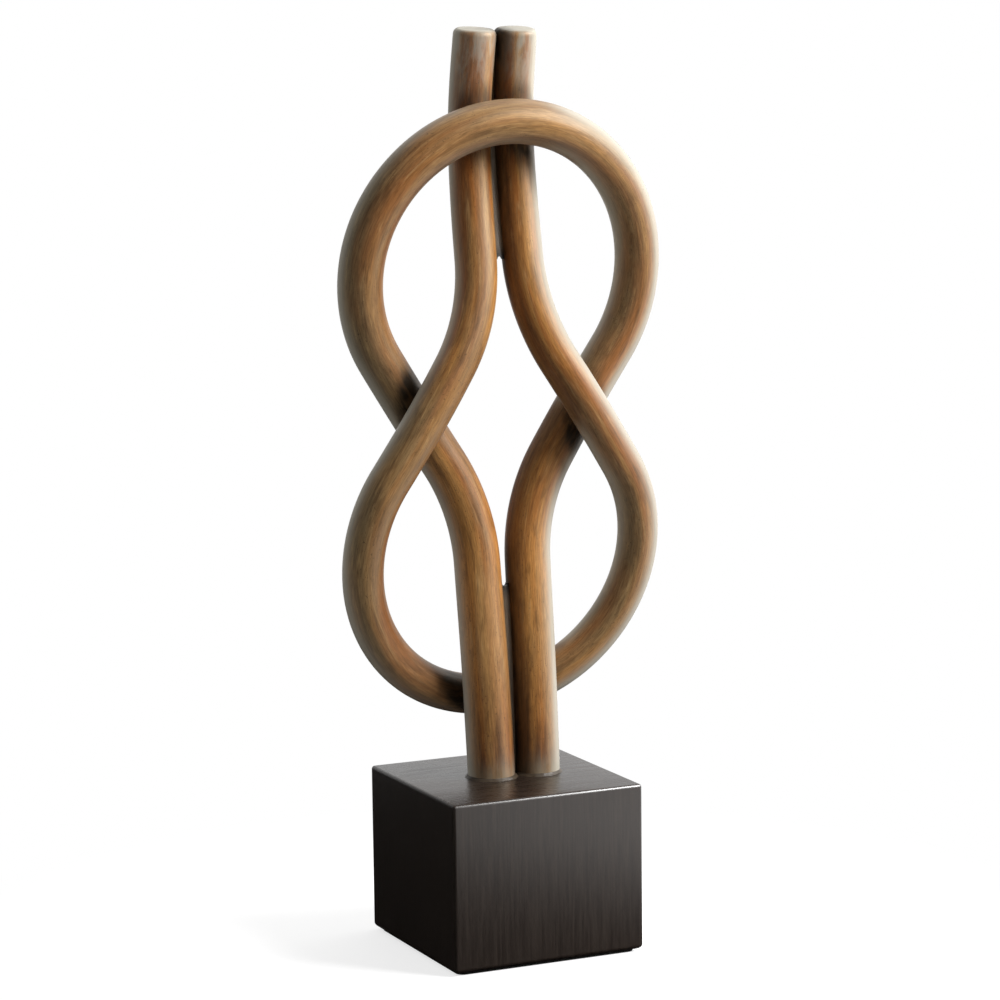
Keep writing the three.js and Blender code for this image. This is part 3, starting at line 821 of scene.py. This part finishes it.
def crossing_soot_and_shade(points, normals, other):
    """Soot and painted shade where the pole lies close behind or beside the other pole, more on the side
    that its shadow falls on and on the rear pole.
    """
    centres = other.centres(LINE_POINTS)
    gaps, ways = gaps_to(points, centres, other.radius(centres[:, 2]))
    facing = (normals * ways).sum(axis=1)
    # Painted shadow: more darkening on the side that the other pole's shadow falls on
    shadowed_side = 0.45 + 0.55 * soft_step(0.35 + ways[:, 0] / 0.8)
    near = soft_step((SOOT_AND_SHADE_REACH - gaps) / SOOT_AND_SHADE_FADE) * soft_step((facing - 0.2) / 0.5)
    rear_pole = 0.35 + 0.65 * soft_step(0.5 - ways[:, 1])
    return CROSSING_SOOT_AND_SHADE * near * shadowed_side * rear_pole


def groove_shade(points, turned, past_crown, line):
    """Painted shade in the groove between the pole's own two legs, less of it on the lit side."""
    centres = line.centres(LINE_POINTS)
    radii = line.radius(centres[:, 2])
    lit = soft_step(0.5 + 0.6 * turned)
    reach = SHADED_GROOVE_REACH + (LIT_GROOVE_REACH - SHADED_GROOVE_REACH) * lit
    soot_and_shade = SHADED_GROOVE_SHADE + (LIT_GROOVE_SHADE - SHADED_GROOVE_SHADE) * lit
    groove = np.zeros(len(points))
    clear_of_crown = line.sizes.crown_radius * math.pi / 2
    for on_side, opposite in ((past_crown < -clear_of_crown, slice(-LEG_POINTS, None)),
                              (past_crown > clear_of_crown, slice(0, LEG_POINTS))):
        beside, _ = gaps_to(points[on_side], centres[opposite], radii[opposite])
        groove[on_side] = soot_and_shade[on_side] * soft_step(1 - beside / reach[on_side])
    return groove


def note_patina_and_painted_light(pole, line, other, bored):
    """Stores for each point, from 0 to 1, the sooty recesses with their painted shade, the patina, the
    painted shade where other poles keep the light off, where the painted edge sheen shows, and the wear
    that the stain shows.
    """
    points = coordinates(pole)
    normals = coordinates(pole, "normal")
    run = read_note(pole, "straight")[:, 2]
    half = run.max() / 2
    from_crown = np.abs(run - half)
    turned = normals @ TO_THE_RIGHT
    across = points[:, 0]
    above_base = points[:, 2] - BASE_TOP

    crossing = crossing_soot_and_shade(points, normals, other)
    groove = groove_shade(points, turned, run - half, line)
    before_legs = soft_step((LOOP_END - from_crown) / LOOP_FADE)
    loop = soft_step((from_crown - LOOP_START) / LOOP_FADE) * before_legs
    near_crown = soft_step(1 - from_crown / CROWN_REACH)
    shaded = soft_step(0.65 - 0.65 * turned)
    lit = soft_step((turned - 0.2) / 0.7)
    # Painted shade: the lit sides of the left poles are darkened as if the poles on the right shaded them,
    # and the left sides of the right legs as if the other legs did. The painted edge sheen is left out on
    # the lit sides of the left legs and near the crown's left.
    left_poles = lit * soft_step((SHELTER_START - across) / SHELTER_FADE)
    right_legs = soft_step(-turned / 0.6) * soft_step((across - SHELTER_START) / SHELTER_FADE)
    right_legs = LEG_PAINTED_SHADE * right_legs * soft_step((SHELTER_END - across) / SHELTER_FADE)
    left_legs = lit * soft_step((EDGE_SHEEN_START - across) / SHELTER_FADE)
    crown_sheen_cut = CROWN_SHEEN_CUT * near_crown * soft_step((CROWN_SHEEN_CUT_END - across) / CROWN_SHEEN_CUT_FADE)
    past_loop = soft_step((from_crown - LOOP_END) / LOOP_FADE)
    for name, values in {
        # Soot and painted shade at the crossings, painted shade in the grooves and in the drilled bores
        "recess": np.maximum(np.maximum(crossing, groove), BORE_SHADE * bored),
        # Patina on the loops, laid more on the sides turned from the light as painted shade, and near the
        # crown
        "loop": np.maximum(loop * shaded, CROWN_PATINA * near_crown),
        "end": soft_step((from_crown - half) / END_PATINA + 1),
        # Painted shade where other poles keep the light off
        "sheltered": left_poles + right_legs,
        # Where the painted edge sheen may show
        "dust": (1 - np.maximum(left_legs, right_legs)) * (1 - crown_sheen_cut),
        "leg": past_loop * soft_step((LOWER_LEG - above_base) / LOOP_FADE),
        "foot": np.clip(1 - above_base / FOOT_PATINA, 0, 1),
    }.items():
        note(pole, name, "FLOAT", values)


BORE_SIDES = 40
SAME_POINT = 0.02 * MM


def bore(name, radius, low, high, turn=(0, 0, 0)):
    """A round tool between two points of a straight line."""
    return start_piece(name, bpy.ops.mesh.primitive_cylinder_add, vertices=BORE_SIDES, radius=radius,
                       depth=(high - low).length, location=(low + high) / 2, rotation=turn)


def drill(pole, pins, fit_gap):
    """Drills a pole for the brads and the foot screws; tells which points are new."""
    before = coordinates(pole)
    straight = read_note(pole, "straight")
    rim = read_note(pole, "rim")
    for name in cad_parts:
        if not name.startswith(("crossing_pin", "foot_screw")):
            continue
        low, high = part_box(name)
        middle = (low + high) / 2
        if name.startswith("foot_screw"):
            tools = [bore("bore", pins.screw / 2 + fit_gap, middle.xy.to_3d(),
                          Vector((middle.x, middle.y, high.z + fit_gap)))]
        else:
            head = high.y - pins.head_thickness - fit_gap
            past = high.y + pins.head_thickness + 3 * pins.shank
            turn = (math.pi / 2, 0, 0)
            tools = [
                bore("bore", pins.shank / 2 + fit_gap, Vector((middle.x, low.y - fit_gap, middle.z)),
                     Vector((middle.x, high.y, middle.z)), turn),
                bore("bore", (high.x - low.x) / 2 + fit_gap, Vector((middle.x, head, middle.z)),
                     Vector((middle.x, past, middle.z)), turn),
            ]
        cut(pole, *tools)
        discard(*tools)
    found = nearest_of(coordinates(pole), before)
    nearest = [index for _, index, _ in found]
    note(pole, "straight", "FLOAT_VECTOR", straight[nearest])
    note(pole, "rim", "FLOAT", rim[nearest])
    return np.array([distance > SAME_POINT for _, _, distance in found])


class KNOT_OT_poles(bpy.types.Operator):
    """Models the standing and the hanging pole"""
    bl_idname = "knot.poles"
    bl_label = "Poles"

    def execute(self, context):
        sizes = context.scene.knot_sizes
        knot = Knot(sizes)
        material = rattan_material(context.scene.knot_finishes)
        for name, line, other in (
            ("standing_pole", knot.standing, knot.hanging),
            ("hanging_pole", knot.hanging, knot.standing),
        ):
            pole = bent_pole("rattan_" + name, line, sizes)
            if line is knot.hanging:
                level_ends(pole, sizes)
            bored = drill(pole, context.scene.knot_pins, context.scene.knot_base.fit_gap)
            note_patina_and_painted_light(pole, line, other, bored)
            finish_piece(pole, material, "rattan", name)
        return {"FINISHED"}


CROTCH_SHADE = 9 * MM
BEAD_GRIME = 0.7
FILLER_LUMPS, FILLER_STRETCH = 4 * MM, 3.0
BEAD_LUMPS = 3 * MM
FILLER_SIDES = 48
BEAD_SIDES = 128
BEAD_RINGS = 6


def leg_filler(name, line, low, high, depth, glue, crotch_z, pole):
    """A lumpy bar of glue between the two legs of a pole, hollowed by them and rounded in the crotch."""
    bar = start_piece(name, bpy.ops.mesh.primitive_cylinder_add, vertices=FILLER_SIDES, radius=0.5,
                      depth=high - low, location=(0, 0, (low + high) / 2))
    edit(bar, "verts", lambda vertex: True)
    bpy.ops.transform.resize(value=(glue.width, depth, 1), center_override=(0, 0, 0))
    end_edit()
    add_rings(bar, round((high - low) / MM))
    roughen(bar, glue.lumpiness, FILLER_LUMPS, FILLER_STRETCH)
    points = coordinates(bar)
    points[:, 0] += line.across(points[:, 2])
    points[:, 1] += line.depth(points[:, 2])
    move_points(bar, points)
    at_crotch = np.array(crotch_z)
    middle = Vector((float(line.across(at_crotch)), float(line.depth(at_crotch)), crotch_z))
    arch = start_piece("arch", bpy.ops.mesh.primitive_cylinder_add, vertices=FILLER_SIDES,
                       radius=glue.crotch_radius, depth=3 * depth, location=middle,
                       rotation=(math.pi / 2, 0, 0))
    cut(bar, bpy.data.objects[pole], arch)
    discard(arch)
    # Painted shade: the filler darkens towards the crotch, where the legs shade it
    from_crotch = np.abs(coordinates(bar)[:, 2] - crotch_z)
    note(bar, "grime", "FLOAT", soft_step(1 - from_crotch / CROTCH_SHADE))
    return bar


class KNOT_OT_leg_fillers(bpy.types.Operator):
    """Models the glue filler between the lower and between the upper legs"""
    bl_idname = "knot.leg_fillers"
    bl_label = "Leg fillers"

    def execute(self, context):
        glue = context.scene.knot_glue
        knot = Knot(context.scene.knot_sizes)
        material = glue_material(context.scene.knot_finishes)
        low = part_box("lower_leg_filler")[0].z
        high = BASE_TOP + glue.lower_rise
        lower = leg_filler("lower_filler", knot.standing, low, high, glue.lower_depth, glue, high,
                           "rattan_standing_pole")
        finish_piece(lower, material, "glue", "lower_leg_filler")
        low = knot.upper_crown_z - glue.upper_drop
        high = knot.end_z - glue.recess
        upper = leg_filler("upper_filler", knot.hanging, low, high, glue.upper_depth, glue, low,
                           "rattan_hanging_pole")
        finish_piece(upper, material, "glue", "upper_leg_filler")
        return {"FINISHED"}


class KNOT_OT_foot_bead(bpy.types.Operator):
    """Models the bead of glue round the two feet"""
    bl_idname = "knot.foot_bead"
    bl_label = "Foot bead"

    def execute(self, context):
        glue = context.scene.knot_glue
        sizes = context.scene.knot_sizes
        knot = Knot(sizes)
        rings = []
        for hand in HANDS.values():
            foot = knot.standing.leg_centre(hand, BASE_TOP)
            ring = start_piece(
                "foot_bead", bpy.ops.mesh.primitive_cone_add, vertices=BEAD_SIDES,
                radius1=sizes.standing_foot / 2 + glue.bead_width, radius2=sizes.standing_foot / 2,
                depth=glue.bead_height, location=foot + Vector((0, 0, glue.bead_height / 2)),
            )
            add_rings(ring, BEAD_RINGS)
            rings.append(ring)
        bead, other = rings
        modify(bead, "BOOLEAN", operation="UNION", solver="MANIFOLD", object=other)
        roughen(bead, glue.lumpiness, BEAD_LUMPS)
        points = coordinates(bead)
        points[:, 2] = np.maximum(points[:, 2], BASE_TOP)
        move_points(bead, points)
        cut(bead, bpy.data.objects["rattan_standing_pole"])
        discard(other)
        bead.name = "foot_bead"
        note(bead, "grime", "FLOAT", np.full(len(bead.data.vertices), BEAD_GRIME))
        finish_piece(bead, glue_material(context.scene.knot_finishes), "glue", "foot_glue_bead")
        return {"FINISHED"}


ROUNDING_STEPS = 6
HOLE_SIDES = 96


def base_block(base):
    """The whole block with rounded edges, before it is split into boards."""
    low = BASE_BOTTOM + base.bottom_rounding
    block = start_piece("block", bpy.ops.mesh.primitive_cube_add, size=1,
                        location=(0, 0, (BASE_TOP + low) / 2),
                        scale=(BASE_HALF_WIDTH * 2, BASE_HALF_DEPTH * 2, BASE_TOP - low))
    bevel_edges(block, lambda edge: not level(edge) or edge.verts[0].co.z > low + MM,
                base.edge_rounding, ROUNDING_STEPS)
    edit(block, "faces", lambda face: face.normal.z < -0.9)
    turns = np.linspace(0, math.pi / 2, ROUNDING_STEPS + 1)
    for turn, following in zip(turns[:-1], turns[1:]):
        step = base.bottom_rounding * (math.sin(following) - math.sin(turn))
        bpy.ops.mesh.extrude_region_move(TRANSFORM_OT_translate={"value": (0, 0, -step)})
        inset = base.bottom_rounding * (1 - math.cos(turn))
        shrink = base.bottom_rounding * (math.cos(turn) - math.cos(following))
        scale = (1 - shrink / (BASE_HALF_WIDTH - inset), 1 - shrink / (BASE_HALF_DEPTH - inset), 1)
        bpy.ops.transform.resize(value=scale, center_override=(0, 0, 0))
    end_edit()
    return block


def keep_side(piece, point, outward):
    """Cuts a closed piece along a plane and keeps the part behind it, with the cut closed."""
    edit(piece, "faces", lambda face: True)
    bpy.ops.mesh.bisect(plane_co=point, plane_no=outward, use_fill=True, clear_outer=True)
    end_edit()


BOARD_FACES = {
    "top": Vector((0, 0, 1)),
    "front": Vector((0, -1, 0)),
    "right": Vector((1, 0, 0)),
    "back": Vector((0, 1, 0)),
    "left": Vector((-1, 0, 0)),
}
UPRIGHT_GRAIN = (0, 0, 0)
LEVEL_GRAIN = (0, math.radians(90), 0)


class KNOT_OT_base_boards(bpy.types.Operator):
    """Models the five mitred boards of the base"""
    bl_idname = "knot.base_boards"
    bl_label = "Base boards"

    def execute(self, context):
        base = context.scene.knot_base
        sizes = context.scene.knot_sizes
        knot = Knot(sizes)
        finishes = context.scene.knot_finishes
        corner = Vector((BASE_HALF_WIDTH, BASE_HALF_DEPTH, BASE_TOP))
        block = base_block(base)
        side_wood = ebony_material("ebonised side", finishes, UPRIGHT_GRAIN, lacquer=1.0, polish=0.32)
        top_wood = ebony_material("ebonised top", finishes, LEVEL_GRAIN, lacquer=0.0, polish=0.24)
        for word, face in BOARD_FACES.items():
            only(block)
            bpy.ops.object.duplicate()
            board = bpy.context.object
            board.name = "board_" + word
            at_face = Vector(a * b for a, b in zip(face, corner))
            keep_side(board, at_face - face * BOARD_THICKNESS, -face)
            for other in BOARD_FACES.values():
                if abs(other.dot(face)) < 0.5:
                    at_edge = at_face + Vector(a * b for a, b in zip(other, corner))
                    outward = (other - face).normalized()
                    keep_side(board, at_edge - outward * (base.mitre_gap / 2), outward)
            if word == "top":
                for hand in HANDS.values():
                    foot = knot.standing.leg_centre(hand, BASE_TOP)
                    hole = start_piece(
                        "hole", bpy.ops.mesh.primitive_cylinder_add, vertices=HOLE_SIDES,
                        radius=sizes.standing_foot / 2 + base.fit_gap,
                        depth=4 * BOARD_THICKNESS, location=foot,
                    )
                    cut(board, hole)
                    discard(hole)
            board.data.name = board.name
            wood = top_wood if word == "top" else side_wood
            finish_piece(board, wood, "ebonised_wood", "base_panel_" + word)
        discard(block)
        return {"FINISHED"}


class KNOT_OT_base_felt(bpy.types.Operator):
    """Models the felt glued under the base"""
    bl_idname = "knot.base_felt"
    bl_label = "Base felt"

    def execute(self, context):
        base = context.scene.knot_base
        low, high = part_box("base_felt")
        size = high - low
        felt = start_piece("felt_pad", bpy.ops.mesh.primitive_cube_add, size=1,
                           location=(low + high) / 2, scale=size)
        bevel_edges(felt, lambda edge: not level(edge), base.felt_rounding, 8)
        bevel_edges(felt, lambda edge: level(edge) and edge.verts[0].co.z < size.z / 2, size.z / 4, 3)
        finish_piece(felt, felt_material(context.scene.knot_finishes), "felt", "base_felt")
        return {"FINISHED"}


POINT_TAPER = 0.1
# Each step of a brad's head: its rise as a share of the head, and its width as a share of the step before
HEAD_STEPS = ((0.6, 1), (0.25, 0.9), (0.15, 0.7))


class KNOT_OT_crossing_pins(bpy.types.Operator):
    """Models the six brads driven through the poles from behind at their crossings"""
    bl_idname = "knot.crossing_pins"
    bl_label = "Crossing pins"

    def execute(self, context):
        pins = context.scene.knot_pins
        steel = steel_material(context.scene.knot_finishes)
        for name in [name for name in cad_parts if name.startswith("crossing_pin")]:
            low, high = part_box(name)
            axis = Vector(((low.x + high.x) / 2, 0, (low.z + high.z) / 2))
            swell = (high.x - low.x) / pins.shank
            brad = bore(name.replace("crossing_pin", "brad"), pins.shank / 2,
                        axis + Vector((0, low.y + pins.point, 0)),
                        axis + Vector((0, high.y - pins.head_thickness, 0)), (math.pi / 2, 0, 0))
            edit(brad, "faces", lambda face: face.normal.y < -0.9)
            bpy.ops.mesh.extrude_region_move(TRANSFORM_OT_translate={"value": (0, -pins.point, 0)})
            bpy.ops.transform.resize(value=(POINT_TAPER, 1, POINT_TAPER), center_override=axis)
            end_edit()
            edit(brad, "faces", lambda face: face.normal.y > 0.9)
            for rise, widen in ((0, swell), *HEAD_STEPS):
                bpy.ops.mesh.extrude_region_move(
                    TRANSFORM_OT_translate={"value": (0, rise * pins.head_thickness, 0)})
                bpy.ops.transform.resize(value=(widen, 1, widen), center_override=axis)
            end_edit()
            finish_piece(brad, steel, "steel", name)
        return {"FINISHED"}


class KNOT_OT_hidden_pieces(bpy.types.Operator):
    """Dresses the core, screws and washers"""
    bl_idname = "knot.hidden_pieces"
    bl_label = "Hidden pieces"

    def execute(self, context):
        finishes = context.scene.knot_finishes
        core = core_material(finishes)
        steel = steel_material(finishes)
        for name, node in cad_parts.items():
            if name == "base_core" or name.startswith(("foot_screw", "foot_washer")):
                node.data.materials.clear()
                node.data.materials.append(core if name == "base_core" else steel)
        return {"FINISHED"}


# Stage


def towards(tree, vector, way, low, high):
    """How far a place or a direction lies along a way, from 0 at the low value to 1 at the high one."""
    along = place(tree, "ShaderNodeVectorMath", {0: vector, 1: way}, operation="DOT_PRODUCT")
    return remap(tree, along.outputs["Value"], low, high)


def backdrop_mask(tree, direction):
    """1 towards the white backdrop behind the object, 0 towards the dim front and the flagged left."""
    return calc(tree, "MULTIPLY", towards(tree, direction, TO_THE_BACK, -0.2, 0.3),
                towards(tree, direction, TO_THE_RIGHT, -0.9, -0.2))


def glow(tree, strength):
    return place(tree, "ShaderNodeEmission", {"Color": (1, 1, 1, 1), "Strength": strength}).outputs[0]


def matt(tree, grey):
    return place(tree, "ShaderNodeBsdfDiffuse", {"Color": (grey, grey, grey, 1)}).outputs[0]


def mixed(tree, factor, first, second):
    return place(tree, "ShaderNodeMixShader", {0: factor, 1: first, 2: second}).outputs[0]


# Distances on the floor from the object's middle, in metres

SHADOW_FADES, SHADOW_ENDS = 0.08, 0.3
NEAR_FLOOR_FADES, FAR_FLOOR_STARTS = 0.65, 1.1


def white_floor_material():
    """Pale floor that keeps the shadow near the object and is plain white to the eye further off."""
    material = bpy.data.materials.new("pale floor")
    material.use_nodes = True
    tree = material.node_tree
    tree.nodes.clear()
    rays = tree.nodes.new("ShaderNodeLightPath").outputs
    where = object_place(tree)
    away = place(tree, "ShaderNodeVectorMath", {0: where}, operation="LENGTH").outputs["Value"]
    near = place(tree, "ShaderNodeAddShader", {0: matt(tree, 0.6), 1: glow(tree, 0.68)}).outputs[0]
    pale = mixed(tree, remap(tree, away, SHADOW_FADES, SHADOW_ENDS), near, glow(tree, 1.0))
    sideways = place(tree, "ShaderNodeVectorMath", {0: where}, operation="NORMALIZE").outputs["Vector"]
    far = remap(tree, away, NEAR_FLOOR_FADES, FAR_FLOOR_STARTS)
    near_right = calc(tree, "MULTIPLY", towards(tree, where, TO_THE_RIGHT, 0.05, 0.42),
                      calc(tree, "SUBTRACT", 1.0, far))
    far_back = calc(tree, "MULTIPLY", far, backdrop_mask(tree, sideways))
    mirrored = glow(tree, calc(tree, "MAXIMUM", near_right, far_back))
    surface = mixed(tree, rays["Is Glossy Ray"], matt(tree, 0.28), mirrored)
    seen = calc(tree, "MAXIMUM", rays["Is Camera Ray"], rays["Is Transmission Ray"])
    surface = mixed(tree, seen, surface, pale)
    place(tree, "ShaderNodeOutputMaterial", {"Surface": surface})
    return material


def studio_world():
    """White to the eye; in reflections white but for the flagged left; a dim fill for the object."""
    world = bpy.data.worlds.new("studio")
    world.use_nodes = True
    tree = world.node_tree
    tree.nodes.clear()
    rays = tree.nodes.new("ShaderNodeLightPath").outputs
    direction = tree.nodes.new("ShaderNodeTexCoord").outputs["Generated"]
    left = calc(tree, "SUBTRACT", 1.0, towards(tree, direction, TO_THE_RIGHT, -0.9, -0.1))
    back = towards(tree, direction, TO_THE_BACK, 0.0, 0.7)
    fill = calc(tree, "ADD", 0.14, calc(tree, "MULTIPLY", back, 0.7))
    fill = calc(tree, "ADD", fill, calc(tree, "MULTIPLY", left, 0.36))
    front_right = towards(tree, direction, TO_THE_RIGHT, 0.3, 0.75)
    mirrored = calc(tree, "MAXIMUM", backdrop_mask(tree, direction), front_right)
    mirrored = calc(tree, "MAXIMUM", mirrored, 0.05)
    strength = place(tree, "ShaderNodeMix", {0: rays["Is Glossy Ray"], 2: fill, 3: mirrored}).outputs[0]
    seen = calc(tree, "MAXIMUM", rays["Is Camera Ray"], rays["Is Transmission Ray"])
    strength = place(tree, "ShaderNodeMix", {0: seen, 2: strength, 3: 1.0}).outputs[0]
    sky = place(tree, "ShaderNodeBackground", {"Color": (1, 1, 1, 1), "Strength": strength}).outputs[0]
    place(tree, "ShaderNodeOutputWorld", {"Surface": sky})
    return world


SOFTBOXES = {
    # name: (azimuth from the front to the right in degrees, elevation in degrees, distance, width, power)
    "key_softbox": (52, 34, 2.0, 1.0, 64),
    "right_softbox": (100, 38, 0.45, 0.36, 0.32),
}


class KNOT_OT_stage(bpy.types.Operator):
    """Sets up the camera, the lights and the pale floor"""
    bl_idname = "knot.stage"
    bl_label = "Stage"

    def execute(self, context):
        stage = context.scene.knot_stage
        scene = context.scene
        scene.view_settings.view_transform = "Standard"
        target = Vector((stage.target_x, 0, stage.target_z))
        flat = math.cos(stage.elevation)
        back = Vector((math.sin(stage.azimuth) * flat, -math.cos(stage.azimuth) * flat,
                       math.sin(stage.elevation)))
        right = Vector((0, 0, 1)).cross(back).normalized()
        up = back.cross(right)
        turned_right = math.cos(stage.roll) * right + math.sin(stage.roll) * up
        turned_up = back.cross(turned_right)
        bpy.ops.object.camera_add()
        camera = context.object
        camera.matrix_world = Matrix.Translation(target + back * stage.distance) @ Matrix(
            (turned_right, turned_up, back)).transposed().to_4x4()
        camera.data.lens = stage.lens
        camera.data.clip_end = 2 * stage.floor_size
        scene.camera = camera

        for name, (azimuth, elevation, distance, width, power) in SOFTBOXES.items():
            a, e = math.radians(azimuth), math.radians(elevation)
            toward = Vector((math.sin(a) * math.cos(e), -math.cos(a) * math.cos(e), math.sin(e)))
            bpy.ops.object.light_add(type="AREA", location=target + toward * distance)
            lamp = context.object
            lamp.name = name
            lamp.rotation_euler = toward.to_track_quat("Z", "Y").to_euler()
            lamp.data.size = width
            lamp.data.energy = power
            lamp.visible_camera = False

        floor = start_piece("floor", bpy.ops.mesh.primitive_plane_add, size=stage.floor_size)
        floor.data.materials.append(white_floor_material())
        scene.world = studio_world()
        return {"FINISHED"}


# Panel


OPERATORS = (
    KNOT_OT_stage,
    KNOT_OT_poles,
    KNOT_OT_leg_fillers,
    KNOT_OT_foot_bead,
    KNOT_OT_base_boards,
    KNOT_OT_base_felt,
    KNOT_OT_crossing_pins,
    KNOT_OT_hidden_pieces,
)
SETTINGS = {
    "knot_sizes": KnotSizes,
    "knot_glue": GlueSizes,
    "knot_pins": PinSizes,
    "knot_base": BaseSizes,
    "knot_finishes": Finishes,
    "knot_stage": StageSettings,
}


class KNOT_PT_panel(bpy.types.Panel):
    """Lists the settings and the pieces of the sculpture"""
    bl_idname = "KNOT_PT_panel"
    bl_label = "Rattan Knot Sculpture"
    bl_space_type = "VIEW_3D"
    bl_region_type = "UI"
    bl_category = "Knot"

    def draw(self, context):
        for key, group in SETTINGS.items():
            box = self.layout.box()
            for field in group.__annotations__:
                box.prop(getattr(context.scene, key), field)
        for operator in OPERATORS:
            self.layout.operator(operator.bl_idname)


def register():
    for group in SETTINGS.values():
        bpy.utils.register_class(group)
    for key, group in SETTINGS.items():
        setattr(bpy.types.Scene, key, PointerProperty(type=group))
    for operator in OPERATORS:
        bpy.utils.register_class(operator)
    bpy.utils.register_class(KNOT_PT_panel)


def unregister():
    bpy.utils.unregister_class(KNOT_PT_panel)
    for operator in reversed(OPERATORS):
        bpy.utils.unregister_class(operator)
    for key, group in SETTINGS.items():
        delattr(bpy.types.Scene, key)
        bpy.utils.unregister_class(group)


def main():
    register()
    bpy.ops.knot.stage()
    bpy.ops.knot.poles()
    bpy.ops.knot.leg_fillers()
    bpy.ops.knot.foot_bead()
    bpy.ops.knot.base_boards()
    bpy.ops.knot.base_felt()
    bpy.ops.knot.crossing_pins()
    bpy.ops.knot.hidden_pieces()


if __name__ == "__main__":
    main()
